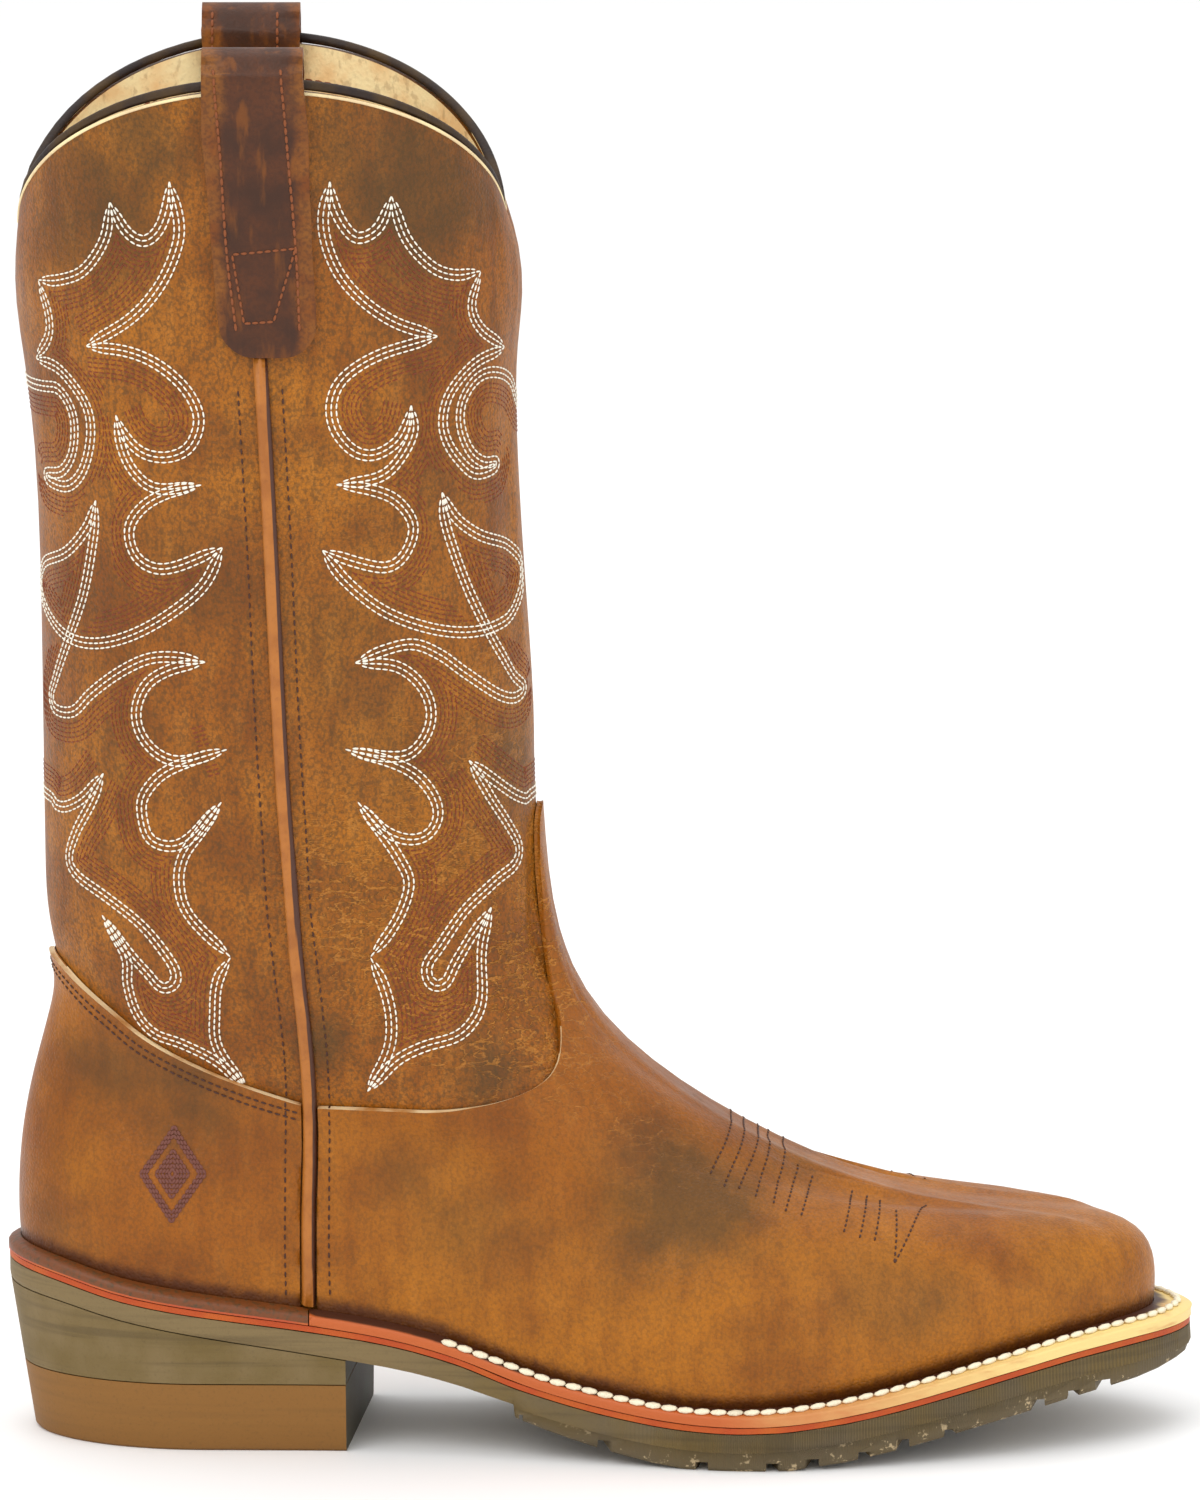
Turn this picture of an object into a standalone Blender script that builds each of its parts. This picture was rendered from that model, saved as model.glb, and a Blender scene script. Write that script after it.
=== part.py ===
"""Western work boot for the right foot, standing on its sole.

Metres. +X runs from heel to toe, +Y to the inner (medial) side, +Z up. The origin is on the
floor, in the middle of the heel's top lift.

The upper is one surface made of closed sections. Each section starts at the back seam, runs
round both sides and meets at the front: low ones follow the sole's outline, the middle ones
tilt over the instep, and the high ones are the rings of the shaft.
"""

import math
from collections import namedtuple
from functools import lru_cache

import bmesh
import bpy
from mathutils import Vector

# Driving sizes
LENGTH = 0.310  # heel rim to toe tip
BALL_WIDTH = 0.106  # the sole at its widest
HEEL_WIDTH = 0.070  # the sole at the heel seat
SHAFT_WIDTH = 0.102  # the shaft's top, side to side
UPPER_HEIGHT = 0.3085  # heel feather edge to 4 mm below the collar's side peaks
HEEL_BEHIND_ORIGIN = 0.0482  # heel rim to the origin
GAP = 0.0003  # between pieces that touch

# Leather
WALL = 0.0024  # shaft leather with its lining
OVERLAY = 0.0016  # vamp and counter
COLLAR_ARCH = 0.041  # the side peaks above the dips at front and back
BINDING_RADIUS = 0.0013
PIPING_WIDTH = 0.0036
PIPING_RISE = 0.0018  # above the shaft
PIPING_RISE_LOW = 0.0031  # between vamp and counter
PIPING_ROOM = 0.00045  # from the bead to vamp and counter
TOE_SWING = 0.004  # the toe's turn to the inner side

# Pull straps
STRAP_WIDTH = 0.026
STRAP_THICKNESS = 0.0024
STRAP_DROP = 0.068  # from the collar's peak to the strap's lower end outside
STRAP_DROP_INSIDE = 0.052
STRAP_LEAN = 0.0022  # the lower end outside lies further forward
STRAP_TAPER = 0.0020  # and is narrower
INNER_STRAP_BACK = 0.0035  # the inner side's strap behind its seam
STRAP_CORNER = 0.009
STRAP_LOOP = 0.0050  # finger gap over the binding
STRAP_STANDOFF = 0.0036  # of the loop from the collar's faces
STRAP_INSIDE_GAP = 0.0004  # more room for the inner leg, inside the shaft's bend

# Sole stack
WELT = 0.0028
WELT_ROUND = WELT / 3
WELT_LIP = 0.0010  # the welt's inner edge above its outer one
MIDSOLE = 0.0015
INSOLE = 0.0030
FOREFOOT = 0.0103  # outsole with its tread, at the ball
TREAD_BITE = 0.0004  # what is taken off the ball so that it stands flat
SOLE_PLATE = 0.0048  # the outsole's upper band, above the tread
HEEL_RISE = 0.0357  # heel seat above the ball
TOE_SPRING = 0.0165  # toe above the ball
RIM_SETBACK = 0.0003  # midsole and outsole behind the welt's edge
TREAD_STEP = 0.0009  # the tread layer behind the plate
TREAD_ROUND = 0.0020
TREAD_LIP = 0.00031  # length in which the tread layer starts
SEAT_ROUND = 0.0006

# Heel
LIFT = 0.0180  # top lift
BREAST_LATERAL = 0.0888  # heel rim to the breast, outer side
BREAST_MEDIAL = 0.0950
HEEL_TAPER_BACK = 0.155  # inward per height
HEEL_TAPER_SIDE = 0.110
LIFT_ROUND = 0.0009

# Tread grooves
GROOVE_DEPTH = 0.0024
GROOVE_WIDTH = 0.0034
GROOVE_REACH = 0.62  # share of the half width
GROOVE_TURN = 12.0  # degrees
GROOVE_OVERSHOOT = 0.0032  # of a cutter past the edge
SLOT_WIDTH = 0.0009

LATERAL, MEDIAL = -1, 1
FRONT, REAR = 1, 0
FRONT_STEPS, REAR_STEPS = 23, 9  # columns of the upper on each side of the seam
OVERLAY_ROWS, SHAFT_ROWS = 10, 6
PIPING_STEPS, HEEL_STEPS, END_STEPS = 14, 14, 12
BINDING_SIDES = 6
WAIST_EVENNESS = 1.3  # evens out the columns in front of the seam
LOW_ROWS_POWER = 1.5  # crowds the rows towards the toe's dome
HEEL_END, TOE_END = 0.16, 0.34  # shares of the length that the round ends take
HEEL_ROUNDNESS, TOE_ROUNDNESS = 2.0, 1.85
TREAD_START = 0.4265  # share of the length where the tread layer steps down
SHANK_ROWS = (0.40, 0.39, 0.20)  # shares of the shank's thickness
PLATE_SHARE = 0.35  # the outsole's upper band stays above this share of its thickness
TREAD_ROW = 0.25  # share of the tread layer where its side turns under
PIPING_PROFILE = [(-1, 0.0), (-1, 0.45), (-0.6, 0.9), (0, 1.0), (0.6, 0.9), (1, 0.45), (1, 0.0)]
PIPING_BLEND = 0.04  # levels over which the bead rises between vamp and counter

# The sole's outline between its round ends, and its swing to either side
Outline = namedtuple("Outline", "along width swing")
OUTLINE = [  # shares of the length, of the way from heel to ball width, and of the toe's swing
    Outline(0.00, 0.00, 0.0),
    Outline(0.16, 0.00, 0.0),
    Outline(0.22, 0.00, 0.0),
    Outline(0.30, -0.04, -0.3),
    Outline(0.38, -0.02, -1.0),
    Outline(0.45, 0.17, -1.37),
    Outline(0.52, 0.49, -1.3),
    Outline(0.60, 0.84, -1.0),
    Outline(0.66, 0.99, -0.45),
    Outline(0.72, 1.00, 0.12),
    Outline(0.80, 1.00, 0.65),
    Outline(0.90, 1.00, 0.95),
    Outline(1.00, 1.00, 1.0),
]

# The welt's top edge seen from the side
Profile = namedtuple("Profile", "along seat spring")
PROFILE = [  # shares of the length, of the heel's rise and of the toe's spring
    Profile(0.00, 1.00, 0.0),
    Profile(0.04, 0.95, 0.0),
    Profile(0.10, 0.83, 0.0),
    Profile(0.17, 0.73, 0.0),
    Profile(0.25, 0.635, 0.0),
    Profile(0.33, 0.52, 0.0),
    Profile(0.375, 0.42, 0.0),
    Profile(0.43, 0.25, 0.0),
    Profile(0.50, 0.10, 0.0),
    Profile(0.57, 0.015, 0.0),
    Profile(0.61, 0.00, 0.0),
    Profile(0.665, 0.00, 0.05),
    Profile(0.72, 0.00, 0.19),
    Profile(0.78, 0.00, 0.42),
    Profile(0.84, 0.00, 0.67),
    Profile(0.91, 0.00, 0.91),
    Profile(0.96, 0.00, 0.99),
    Profile(1.00, 0.00, 1.00),
]

# The outsole's thickness along the foot
Thickness = namedtuple("Thickness", "along share")
THICKNESS = [  # shares of the length and of the forefoot's thickness
    Thickness(0.00, 0.54),
    Thickness(0.10, 0.46),
    Thickness(0.29, 0.56),
    Thickness(0.38, 0.50),
    Thickness(TREAD_START, 0.41),
]
TREAD_THICKNESS = [
    Thickness(TREAD_START, 0.78),
    Thickness(0.50, 0.91),
    Thickness(0.57, 1.00),
    Thickness(0.85, 1.02),
    Thickness(0.95, 0.94),
    Thickness(1.00, 0.70),
]

# Sections of the upper. back and front are shares of the length from the heel rim, the rises
# are shares of the upper's height above the feather edge at heel and toe, heel and ball are
# half widths as shares of the named width, the ends are the round shares of the section, sag
# and swing are how far it follows the sole's arch and swing, and arch is its share of the
# collar's arch.
Section = namedtuple(
    "Section",
    "width back back_rise front front_rise heel ball heel_end toe_end sag swing seam arch",
)
SECTIONS = [
    Section(BALL_WIDTH, 0.018, 0.000, 0.961, 0.000, 0.272, 0.411, 0.16, 0.34, 1.00, 1.00, 0.256, 0.0),
    Section(BALL_WIDTH, 0.016, 0.040, 0.962, 0.036, 0.290, 0.443, 0.17, 0.35, 0.85, 1.00, 0.256, 0.0),
    Section(BALL_WIDTH, 0.017, 0.079, 0.951, 0.063, 0.294, 0.429, 0.19, 0.37, 0.60, 1.00, 0.256, 0.0),
    Section(BALL_WIDTH, 0.022, 0.118, 0.921, 0.087, 0.284, 0.372, 0.23, 0.40, 0.40, 1.00, 0.257, 0.0),
    Section(BALL_WIDTH, 0.029, 0.154, 0.840, 0.100, 0.276, 0.333, 0.29, 0.45, 0.20, 1.00, 0.258, 0.0),
    Section(BALL_WIDTH, 0.038, 0.189, 0.738, 0.110, 0.290, 0.326, 0.36, 0.49, 0.08, 1.00, 0.258, 0.0),
    Section(BALL_WIDTH, 0.045, 0.218, 0.642, 0.154, 0.322, 0.336, 0.43, 0.50, 0.00, 0.85, 0.257, 0.0),
    Section(SHAFT_WIDTH, 0.046, 0.241, 0.556, 0.214, 0.360, 0.366, 0.48, 0.50, 0.00, 0.60, 0.255, 0.0),
    Section(SHAFT_WIDTH, 0.041, 0.267, 0.497, 0.261, 0.374, 0.378, 0.50, 0.50, 0.00, 0.30, 0.252, 0.0),
    Section(SHAFT_WIDTH, 0.036, 0.296, 0.467, 0.314, 0.387, 0.390, 0.50, 0.50, 0.00, 0.10, 0.248, 0.0),
    Section(SHAFT_WIDTH, 0.034, 0.338, 0.453, 0.389, 0.402, 0.402, 0.50, 0.50, 0.00, 0.00, 0.244, 0.0),
    Section(SHAFT_WIDTH, 0.034, 0.403, 0.445, 0.460, 0.420, 0.420, 0.50, 0.50, 0.00, 0.00, 0.239, 0.0),
    Section(SHAFT_WIDTH, 0.033, 0.510, 0.443, 0.567, 0.446, 0.446, 0.50, 0.50, 0.00, 0.00, 0.234, 0.0),
    Section(SHAFT_WIDTH, 0.030, 0.660, 0.431, 0.717, 0.474, 0.474, 0.50, 0.50, 0.00, 0.00, 0.228, 0.05),
    Section(SHAFT_WIDTH, 0.023, 0.752, 0.430, 0.810, 0.486, 0.486, 0.50, 0.50, 0.00, 0.00, 0.222, 0.22),
    Section(SHAFT_WIDTH, 0.012, 0.835, 0.435, 0.884, 0.496, 0.496, 0.50, 0.50, 0.00, 0.00, 0.218, 0.58),
    Section(SHAFT_WIDTH, 0.017, 0.874, 0.421, 0.938, 0.500, 0.500, 0.50, 0.50, 0.00, 0.00, 0.217, 1.00),
]
ARCH_ROUNDNESS = 0.95

# Top edges of vamp and counter, from the side seam to the front or the back
Edge = namedtuple("Edge", "turn rise")
VAMP_TOP = [  # shares of the way round and of the upper's height above the heel feather
    Edge(0.00, 0.146),
    Edge(0.20, 0.146),
    Edge(0.33, 0.151),
    Edge(0.46, 0.162),
    Edge(0.61, 0.185),
    Edge(0.71, 0.208),
    Edge(0.78, 0.242),
    Edge(0.81, 0.276),
    Edge(0.84, 0.322),
    Edge(0.88, 0.362),
    Edge(0.93, 0.381),
    Edge(1.00, 0.386),
]
COUNTER_TOP = [
    Edge(0.00, 0.146),
    Edge(0.14, 0.160),
    Edge(0.40, 0.193),
    Edge(0.61, 0.226),
    Edge(0.89, 0.258),
    Edge(1.00, 0.261),
]

# Where the tread's grooves cross the edge
GROOVES = [0.497, 0.591, 0.635, 0.684, 0.712, 0.759, 0.785, 0.871, 0.892, 0.925]

Look = namedtuple("Look", "color roughness metallic")
SHAFT_LEATHER = Look((0.40, 0.19, 0.05, 1.0), 0.55, 0.0)
VAMP_LEATHER = Look((0.36, 0.17, 0.05, 1.0), 0.50, 0.0)
DARK_LEATHER = Look((0.20, 0.09, 0.04, 1.0), 0.55, 0.0)
BINDING_LEATHER = Look((0.04, 0.025, 0.02, 1.0), 0.45, 0.0)
WELT_LEATHER = Look((0.75, 0.42, 0.18, 1.0), 0.50, 0.0)
ORANGE_LEATHER = Look((0.65, 0.16, 0.04, 1.0), 0.50, 0.0)
INSOLE_LEATHER = Look((0.70, 0.55, 0.35, 1.0), 0.80, 0.0)
SOLE_RUBBER = Look((0.20, 0.15, 0.09, 1.0), 0.60, 0.0)
HEEL_RUBBER = Look((0.24, 0.17, 0.09, 1.0), 0.60, 0.0)
LIFT_RUBBER = Look((0.30, 0.18, 0.08, 1.0), 0.60, 0.0)


def slope_at(knots, values, i):
    """Tangent of the smooth curve at knot i, held back so that it never overshoots."""
    if i in (0, len(knots) - 1):
        j = 0 if i == 0 else i - 1
        return (values[j + 1] - values[j]) / (knots[j + 1] - knots[j])
    before = (values[i] - values[i - 1]) / (knots[i] - knots[i - 1])
    after = (values[i + 1] - values[i]) / (knots[i + 1] - knots[i])
    if before * after <= 0:
        return 0.0
    return 2 * before * after / (before + after)


def smooth(knots, values, t):
    """The value at t of the smooth curve through the knots."""
    t = min(max(t, knots[0]), knots[-1])
    i = max(j for j in range(len(knots) - 1) if knots[j] <= t)
    step = knots[i + 1] - knots[i]
    u = (t - knots[i]) / step
    start, end = slope_at(knots, values, i), slope_at(knots, values, i + 1)
    return (
        (2 * u**3 - 3 * u**2 + 1) * values[i]
        + (u**3 - 2 * u**2 + u) * step * start
        + (3 * u**2 - 2 * u**3) * values[i + 1]
        + (u**3 - u**2) * step * end
    )


def column(table, name):
    """One named column of a table."""
    return [getattr(row, name) for row in table]


def read(table, key, name, t):
    """A named column of a table, smooth along its key column."""
    return smooth(column(table, key), column(table, name), t)


def round_end(share, roundness):
    """Half width at this share of a round end, which grows from 0 to 1."""
    if share >= 1:
        return 1.0
    return (1 - (1 - max(share, 0.0)) ** roundness) ** (1 / roundness)


# The sole's outline and heights


def share_along(x):
    """Share of the length at x."""
    return (x + HEEL_BEHIND_ORIGIN) / LENGTH


def x_at(along):
    return along * LENGTH - HEEL_BEHIND_ORIGIN


def swing(x):
    """How far the foot's middle line lies to the inner side at x."""
    return TOE_SWING * read(OUTLINE, "along", "swing", share_along(x))


def sole_half_width(along):
    growth = read(OUTLINE, "along", "width", along)
    half = (HEEL_WIDTH + (BALL_WIDTH - HEEL_WIDTH) * growth) / 2
    ends = round_end(along / HEEL_END, HEEL_ROUNDNESS)
    return half * ends * round_end((1 - along) / TOE_END, TOE_ROUNDNESS)


def sole_outline(side, along, inset=0.0):
    """A point of the sole's outline in plan, moved inward by inset."""

    def plain(share, which):
        x = x_at(share)
        return Vector((x, swing(x) + which * sole_half_width(share)))

    step = 1e-4
    before = plain(along - step, side) if along > step else plain(step, -side)
    after = plain(along + step, side) if along < 1 - step else plain(1 - step, -side)
    run = (after - before).normalized()
    inward = Vector((-run.y, run.x)) if side == LATERAL else Vector((run.y, -run.x))
    return plain(along, side) + inward * inset


def welt_top(along):
    """Height of the welt's outer top edge."""
    stack = FOREFOOT - TREAD_BITE + GAP + MIDSOLE + GAP + WELT
    seat = read(PROFILE, "along", "seat", along) * HEEL_RISE
    return stack + seat + read(PROFILE, "along", "spring", along) * TOE_SPRING


def midsole_top(along):
    return welt_top(along) - WELT - GAP


def outsole_top(along):
    return midsole_top(along) - MIDSOLE - GAP


def outsole_bottom(along, tread):
    """Underside of the outsole, flat on the floor at the ball."""
    table = TREAD_THICKNESS if tread else THICKNESS
    return max(0.0, outsole_top(along) - FOREFOOT * read(table, "along", "share", along))


# The upper's surface


@lru_cache(maxsize=None)
def section(level):
    """The section at this level, 0 at the feather edge and 1 at the collar."""
    place = level * (len(SECTIONS) - 1)
    knots = list(range(len(SECTIONS)))
    return Section(*(smooth(knots, column(SECTIONS, name), place) for name in Section._fields))


def arch_dip(x):
    """The feather edge's height at x above the straight line from heel to toe."""
    low = SECTIONS[0]
    along = min(max(share_along(x), low.back), low.front)
    share = (along - low.back) / (low.front - low.back)
    heel, toe = midsole_top(low.back), midsole_top(low.front)
    return midsole_top(along) - heel - (toe - heel) * share


def share_round(half, turn, seam):
    """How far along its section a column stands, from its seam's place there."""
    if half == REAR:
        return seam * (1 - math.sin(turn * math.pi / 2))
    return seam + (1 - seam) * math.sin(turn * math.pi / 2) ** WAIST_EVENNESS


def on_upper(side, half, turn, level, shift=0.0):
    """A point of the upper's outer face.

    turn runs from 0 at the side seam to 1 at the front or the back, and past 1 to the other
    side. shift moves the seam end of the column along X.
    """
    if turn > 1:
        side, turn = -side, 2 - turn
    row = section(level)
    start = (row.seam + shift / LENGTH - row.back) / (row.front - row.back)
    along = share_round(half, turn, start)
    x = x_at(row.back + (row.front - row.back) * along)
    growth = smooth(column(OUTLINE, "along"), column(OUTLINE, "width"), along)
    wide = (row.heel + (row.ball - row.heel) * growth) * row.width
    wide *= round_end(along / row.heel_end, HEEL_ROUNDNESS)
    wide *= round_end((1 - along) / row.toe_end, TOE_ROUNDNESS)
    back_z = midsole_top(SECTIONS[0].back) + GAP + row.back_rise * UPPER_HEIGHT
    front_z = midsole_top(SECTIONS[0].front) + GAP + row.front_rise * UPPER_HEIGHT
    arch = (2 * math.sqrt(max(along * (1 - along), 0.0))) ** ARCH_ROUNDNESS
    z = back_z + (front_z - back_z) * along + row.sag * arch_dip(x)
    z += row.arch * COLLAR_ARCH * arch
    return Vector((x, row.swing * swing(x) + side * wide, z))


def outward(side, half, turn, level, shift=0.0):
    """The upper's outward normal."""
    step = 1e-3
    low, high = max(turn - step, 0.0), turn + step
    run = on_upper(side, half, high, level, shift) - on_upper(side, half, low, level, shift)
    below, above = max(level - step, 0.0), min(level + step, 1.0)
    rise = on_upper(side, half, turn, above, shift) - on_upper(side, half, turn, below, shift)
    facing = side if half == REAR else -side
    return (facing * run.cross(rise)).normalized()


def off_upper(side, half, turn, level, off, shift=0.0):
    """A point at a distance off the upper's outer face. The lowest ones rest on the midsole."""
    point = on_upper(side, half, turn, level, shift)
    point += off * outward(side, half, turn, level, shift)
    if level == 0:
        point.z = midsole_top(share_along(point.x)) + GAP
    return point


def level_at_height(side, half, turn, z, shift=0.0):
    """The level at which a column reaches height z."""
    low, high = 0.0, 1.0
    for _ in range(24):
        middle = (low + high) / 2
        if on_upper(side, half, turn, middle, shift).z < z:
            low = middle
        else:
            high = middle
    return (low + high) / 2


@lru_cache(maxsize=None)
def overlay_level(half, turn):
    """The level of the vamp's or the counter's top edge."""
    table = VAMP_TOP if half == FRONT else COUNTER_TOP
    z = midsole_top(SECTIONS[0].back) + GAP + UPPER_HEIGHT * read(table, "turn", "rise", turn)
    return level_at_height(LATERAL, half, turn, z)


def around(half=None):
    """Columns (side, half, turn) in order: all round from the back, or one half of it."""
    rear = [(REAR, i / REAR_STEPS) for i in range(REAR_STEPS, -1, -1)]
    front = [(FRONT, i / FRONT_STEPS) for i in range(FRONT_STEPS + 1)]
    if half is None:
        one_side = rear + front[1:]
    else:
        one_side = front if half == FRONT else [(h, t) for h, t in reversed(rear)]
    lateral = [(LATERAL, h, t) for h, t in one_side]
    medial = [(MEDIAL, h, t) for h, t in reversed(one_side)]
    joined = lateral + medial[1:]
    return joined[:-1] if half is None else joined


# Meshes


def finish(mesh_data, name, look, smooth_angle=40.0):
    """A named object of its own material from a bmesh."""
    bmesh.ops.remove_doubles(mesh_data, verts=mesh_data.verts, dist=1e-6)
    bmesh.ops.dissolve_degenerate(mesh_data, edges=mesh_data.edges, dist=1e-6)
    bmesh.ops.recalc_face_normals(mesh_data, faces=mesh_data.faces)
    mesh = bpy.data.meshes.new(name)
    mesh_data.to_mesh(mesh)
    mesh_data.free()
    mesh.shade_smooth()
    mesh.set_sharp_from_angle(angle=math.radians(smooth_angle))
    item = bpy.data.objects.new(name, mesh)
    bpy.context.scene.collection.objects.link(item)
    material = bpy.data.materials.new(name)
    material.use_nodes = True
    shader = material.node_tree.nodes["Principled BSDF"]
    shader.inputs["Base Color"].default_value = look.color
    shader.inputs["Roughness"].default_value = look.roughness
    shader.inputs["Metallic"].default_value = look.metallic
    mesh.materials.append(material)
    return item


def sweep(name, rings, look, caps="both"):
    """A solid through rings of points.

    caps is both, last or none for its end faces, or joined when the last ring meets the first.
    A ring whose points coincide needs no cap.
    """
    data = bmesh.new()
    rows = [[data.verts.new(point) for point in ring] for ring in rings]
    followers = rows[1:] + (rows[:1] if caps == "joined" else [])
    for one, other in zip(rows, followers):
        for i in range(len(one)):
            j = (i + 1) % len(one)
            data.faces.new((one[i], one[j], other[j], other[i]))
    if caps == "both":
        data.faces.new(rows[0])
    if caps in ("both", "last"):
        data.faces.new(rows[-1])
    return finish(data, name, look)


def shell(name, columns, outer, inner, look, closed=False):
    """A wall between two faces. outer and inner give a column's points from bottom to top.

    Faces that lie on each other have the same diagonals, which follow the overlays' top edges.
    """
    data = bmesh.new()
    rows = [[data.verts.new(p) for p in outer(place) + inner(place)[::-1]] for place in columns]
    turns = [place[-1] for place in columns]
    last = len(rows) if closed else len(rows) - 1
    for k in range(last):
        one, other = rows[k], rows[(k + 1) % len(rows)]
        climbs = turns[(k + 1) % len(rows)] > turns[k]
        for i in range(len(one)):
            j = (i + 1) % len(one)
            if climbs == (i < len(one) // 2):
                data.faces.new((one[i], one[j], other[i]))
                data.faces.new((one[j], other[j], other[i]))
            else:
                data.faces.new((one[i], one[j], other[j]))
                data.faces.new((one[i], other[j], other[i]))
    if not closed:
        data.faces.new(rows[0])
        data.faces.new(rows[-1])
    return finish(data, name, look)


# Pieces of the upper


def overlay_levels(half, turn):
    """Levels of the rows under the vamp or the counter, up to its top edge."""
    edge = overlay_level(half, turn)
    return [edge * (i / OVERLAY_ROWS) ** LOW_ROWS_POWER for i in range(OVERLAY_ROWS + 1)]


def build_upper():
    def face(off):
        def points(place):
            side, half, turn = place
            low = overlay_levels(half, turn)
            shaft = [low[-1] + (1 - low[-1]) * i / SHAFT_ROWS for i in range(1, SHAFT_ROWS + 1)]
            return [off_upper(side, half, turn, level, off) for level in low + shaft]

        return points

    return shell("upper", around(), face(0.0), face(-WALL), SHAFT_LEATHER, closed=True)


def build_overlay(name, half):
    """Vamp or counter: cut between two larger forms of the upper, up to its own edge.

    It has the upper's own columns. Its ends stop short of the seam's piping.
    """
    first = 1 / (FRONT_STEPS if half == FRONT else REAR_STEPS)

    def face(off):
        def points(place):
            side, _, turn = place
            here = [off_upper(side, half, turn, level, off) for level in overlay_levels(half, turn)]
            if turn > 0:
                return here
            beside = [off_upper(side, half, first, level, off) for level in overlay_levels(half, first)]
            clear = PIPING_WIDTH / 2 + PIPING_ROOM
            return [one + (other - one).normalized() * clear for one, other in zip(here, beside)]

        return points

    return shell(name, around(half), face(GAP + OVERLAY), face(GAP), VAMP_LEATHER)


def build_piping(name, side):
    """The bead of a side seam, from the welt to the pull strap."""
    foot = welt_top(SECTIONS[0].seam - PIPING_WIDTH / LENGTH) + WELT_LIP + 2 * GAP
    start = level_at_height(side, FRONT, 0.0, foot)
    stop = level_at_height(side, FRONT, 0.0, strap_end_height() - GAP)
    over = overlay_level(FRONT, 0.0)
    rings = []
    for i in range(PIPING_STEPS + 1):
        level = start + (stop - start) * i / PIPING_STEPS
        low = min(max((over - level) / PIPING_BLEND + 0.5, 0.0), 1.0)
        rise = PIPING_RISE + (PIPING_RISE_LOW - PIPING_RISE) * low - GAP
        ring = []
        for across, share in PIPING_PROFILE:
            shift = across * PIPING_WIDTH / 2
            ring.append(off_upper(side, FRONT, 0.0, level, GAP + share * rise, shift))
        rings.append(ring)
    return sweep(name, rings, SHAFT_LEATHER)


def build_binding():
    """The rolled binding on the collar's edge."""
    rings = []
    for side, half, turn in around():
        top = off_upper(side, half, turn, 1.0, -WALL / 2)
        normal = outward(side, half, turn, 1.0)
        normal = Vector((normal.x, normal.y, 0)).normalized()
        centre = top + Vector((0, 0, GAP + BINDING_RADIUS))
        ring = []
        for i in range(BINDING_SIDES):
            angle = 2 * math.pi * i / BINDING_SIDES
            spread = normal * math.cos(angle) + Vector((0, 0, math.sin(angle)))
            ring.append(centre + spread * BINDING_RADIUS)
        rings.append(ring)
    return sweep("collar_binding", rings, BINDING_LEATHER, caps="joined")


def collar_peak(side, shift=0.0):
    """The middle of the collar's wall at the side seam."""
    return off_upper(side, FRONT, 0.0, 1.0, -WALL / 2, shift)


def strap_end_height():
    return collar_peak(LATERAL).z - STRAP_DROP


def build_strap(name, side):
    """A pull strap: a folded band over the collar that leaves a finger gap."""
    binding_top = 2 * GAP + 2 * BINDING_RADIUS
    half_gap = WALL / 2 + STRAP_STANDOFF
    leg_steps, arch_steps = 5, 8
    middle_shift = -INNER_STRAP_BACK if side == MEDIAL else 0.0
    peak = collar_peak(side, middle_shift)

    def level_below_peak(shift, drop):
        return level_at_height(side, FRONT, 0.0, collar_peak(side).z - drop, shift)

    def leg_level(low, i):
        return low + (1 - low) * i / leg_steps

    def standoff(share):
        return GAP + (STRAP_STANDOFF - GAP) * max(0.0, share * 2 - 1) ** 2

    def band(thick):
        def points(place):
            across = place[0]
            edge = max(0.0, abs(across) * STRAP_WIDTH / 2 - (STRAP_WIDTH / 2 - STRAP_CORNER))
            lifted = STRAP_CORNER - math.sqrt(STRAP_CORNER**2 - edge**2)
            shift = middle_shift + across * STRAP_WIDTH / 2
            path = []
            low = level_below_peak(shift, STRAP_DROP - lifted)
            for i in range(leg_steps):
                down = 1 - i / leg_steps
                leant = shift + (STRAP_LEAN - across * STRAP_TAPER / 2) * down
                off = standoff(i / leg_steps) + thick
                path.append(off_upper(side, FRONT, 0.0, leg_level(low, i), off, leant))
            middle = Vector((collar_peak(side, shift).x, peak.y, peak.z + binding_top / 2))
            for i in range(arch_steps + 1):
                angle = math.pi * i / arch_steps
                sideways = side * math.cos(angle) * (half_gap + thick)
                up = math.sin(angle) * (binding_top / 2 + STRAP_LOOP + thick)
                path.append(middle + Vector((0, sideways, up)))
            low = level_below_peak(shift, STRAP_DROP_INSIDE - lifted)
            for i in range(leg_steps - 1, -1, -1):
                off = -WALL - STRAP_INSIDE_GAP - standoff(i / leg_steps) - thick
                path.append(off_upper(side, FRONT, 0.0, leg_level(low, i), off, shift))
            return path

        return points

    shares = [(-1.0,), (-0.86,), (-0.5,), (0.0,), (0.5,), (0.86,), (1.0,)]
    return shell(name, shares, band(STRAP_THICKNESS), band(0.0), DARK_LEATHER)


# Pieces of the sole


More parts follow.
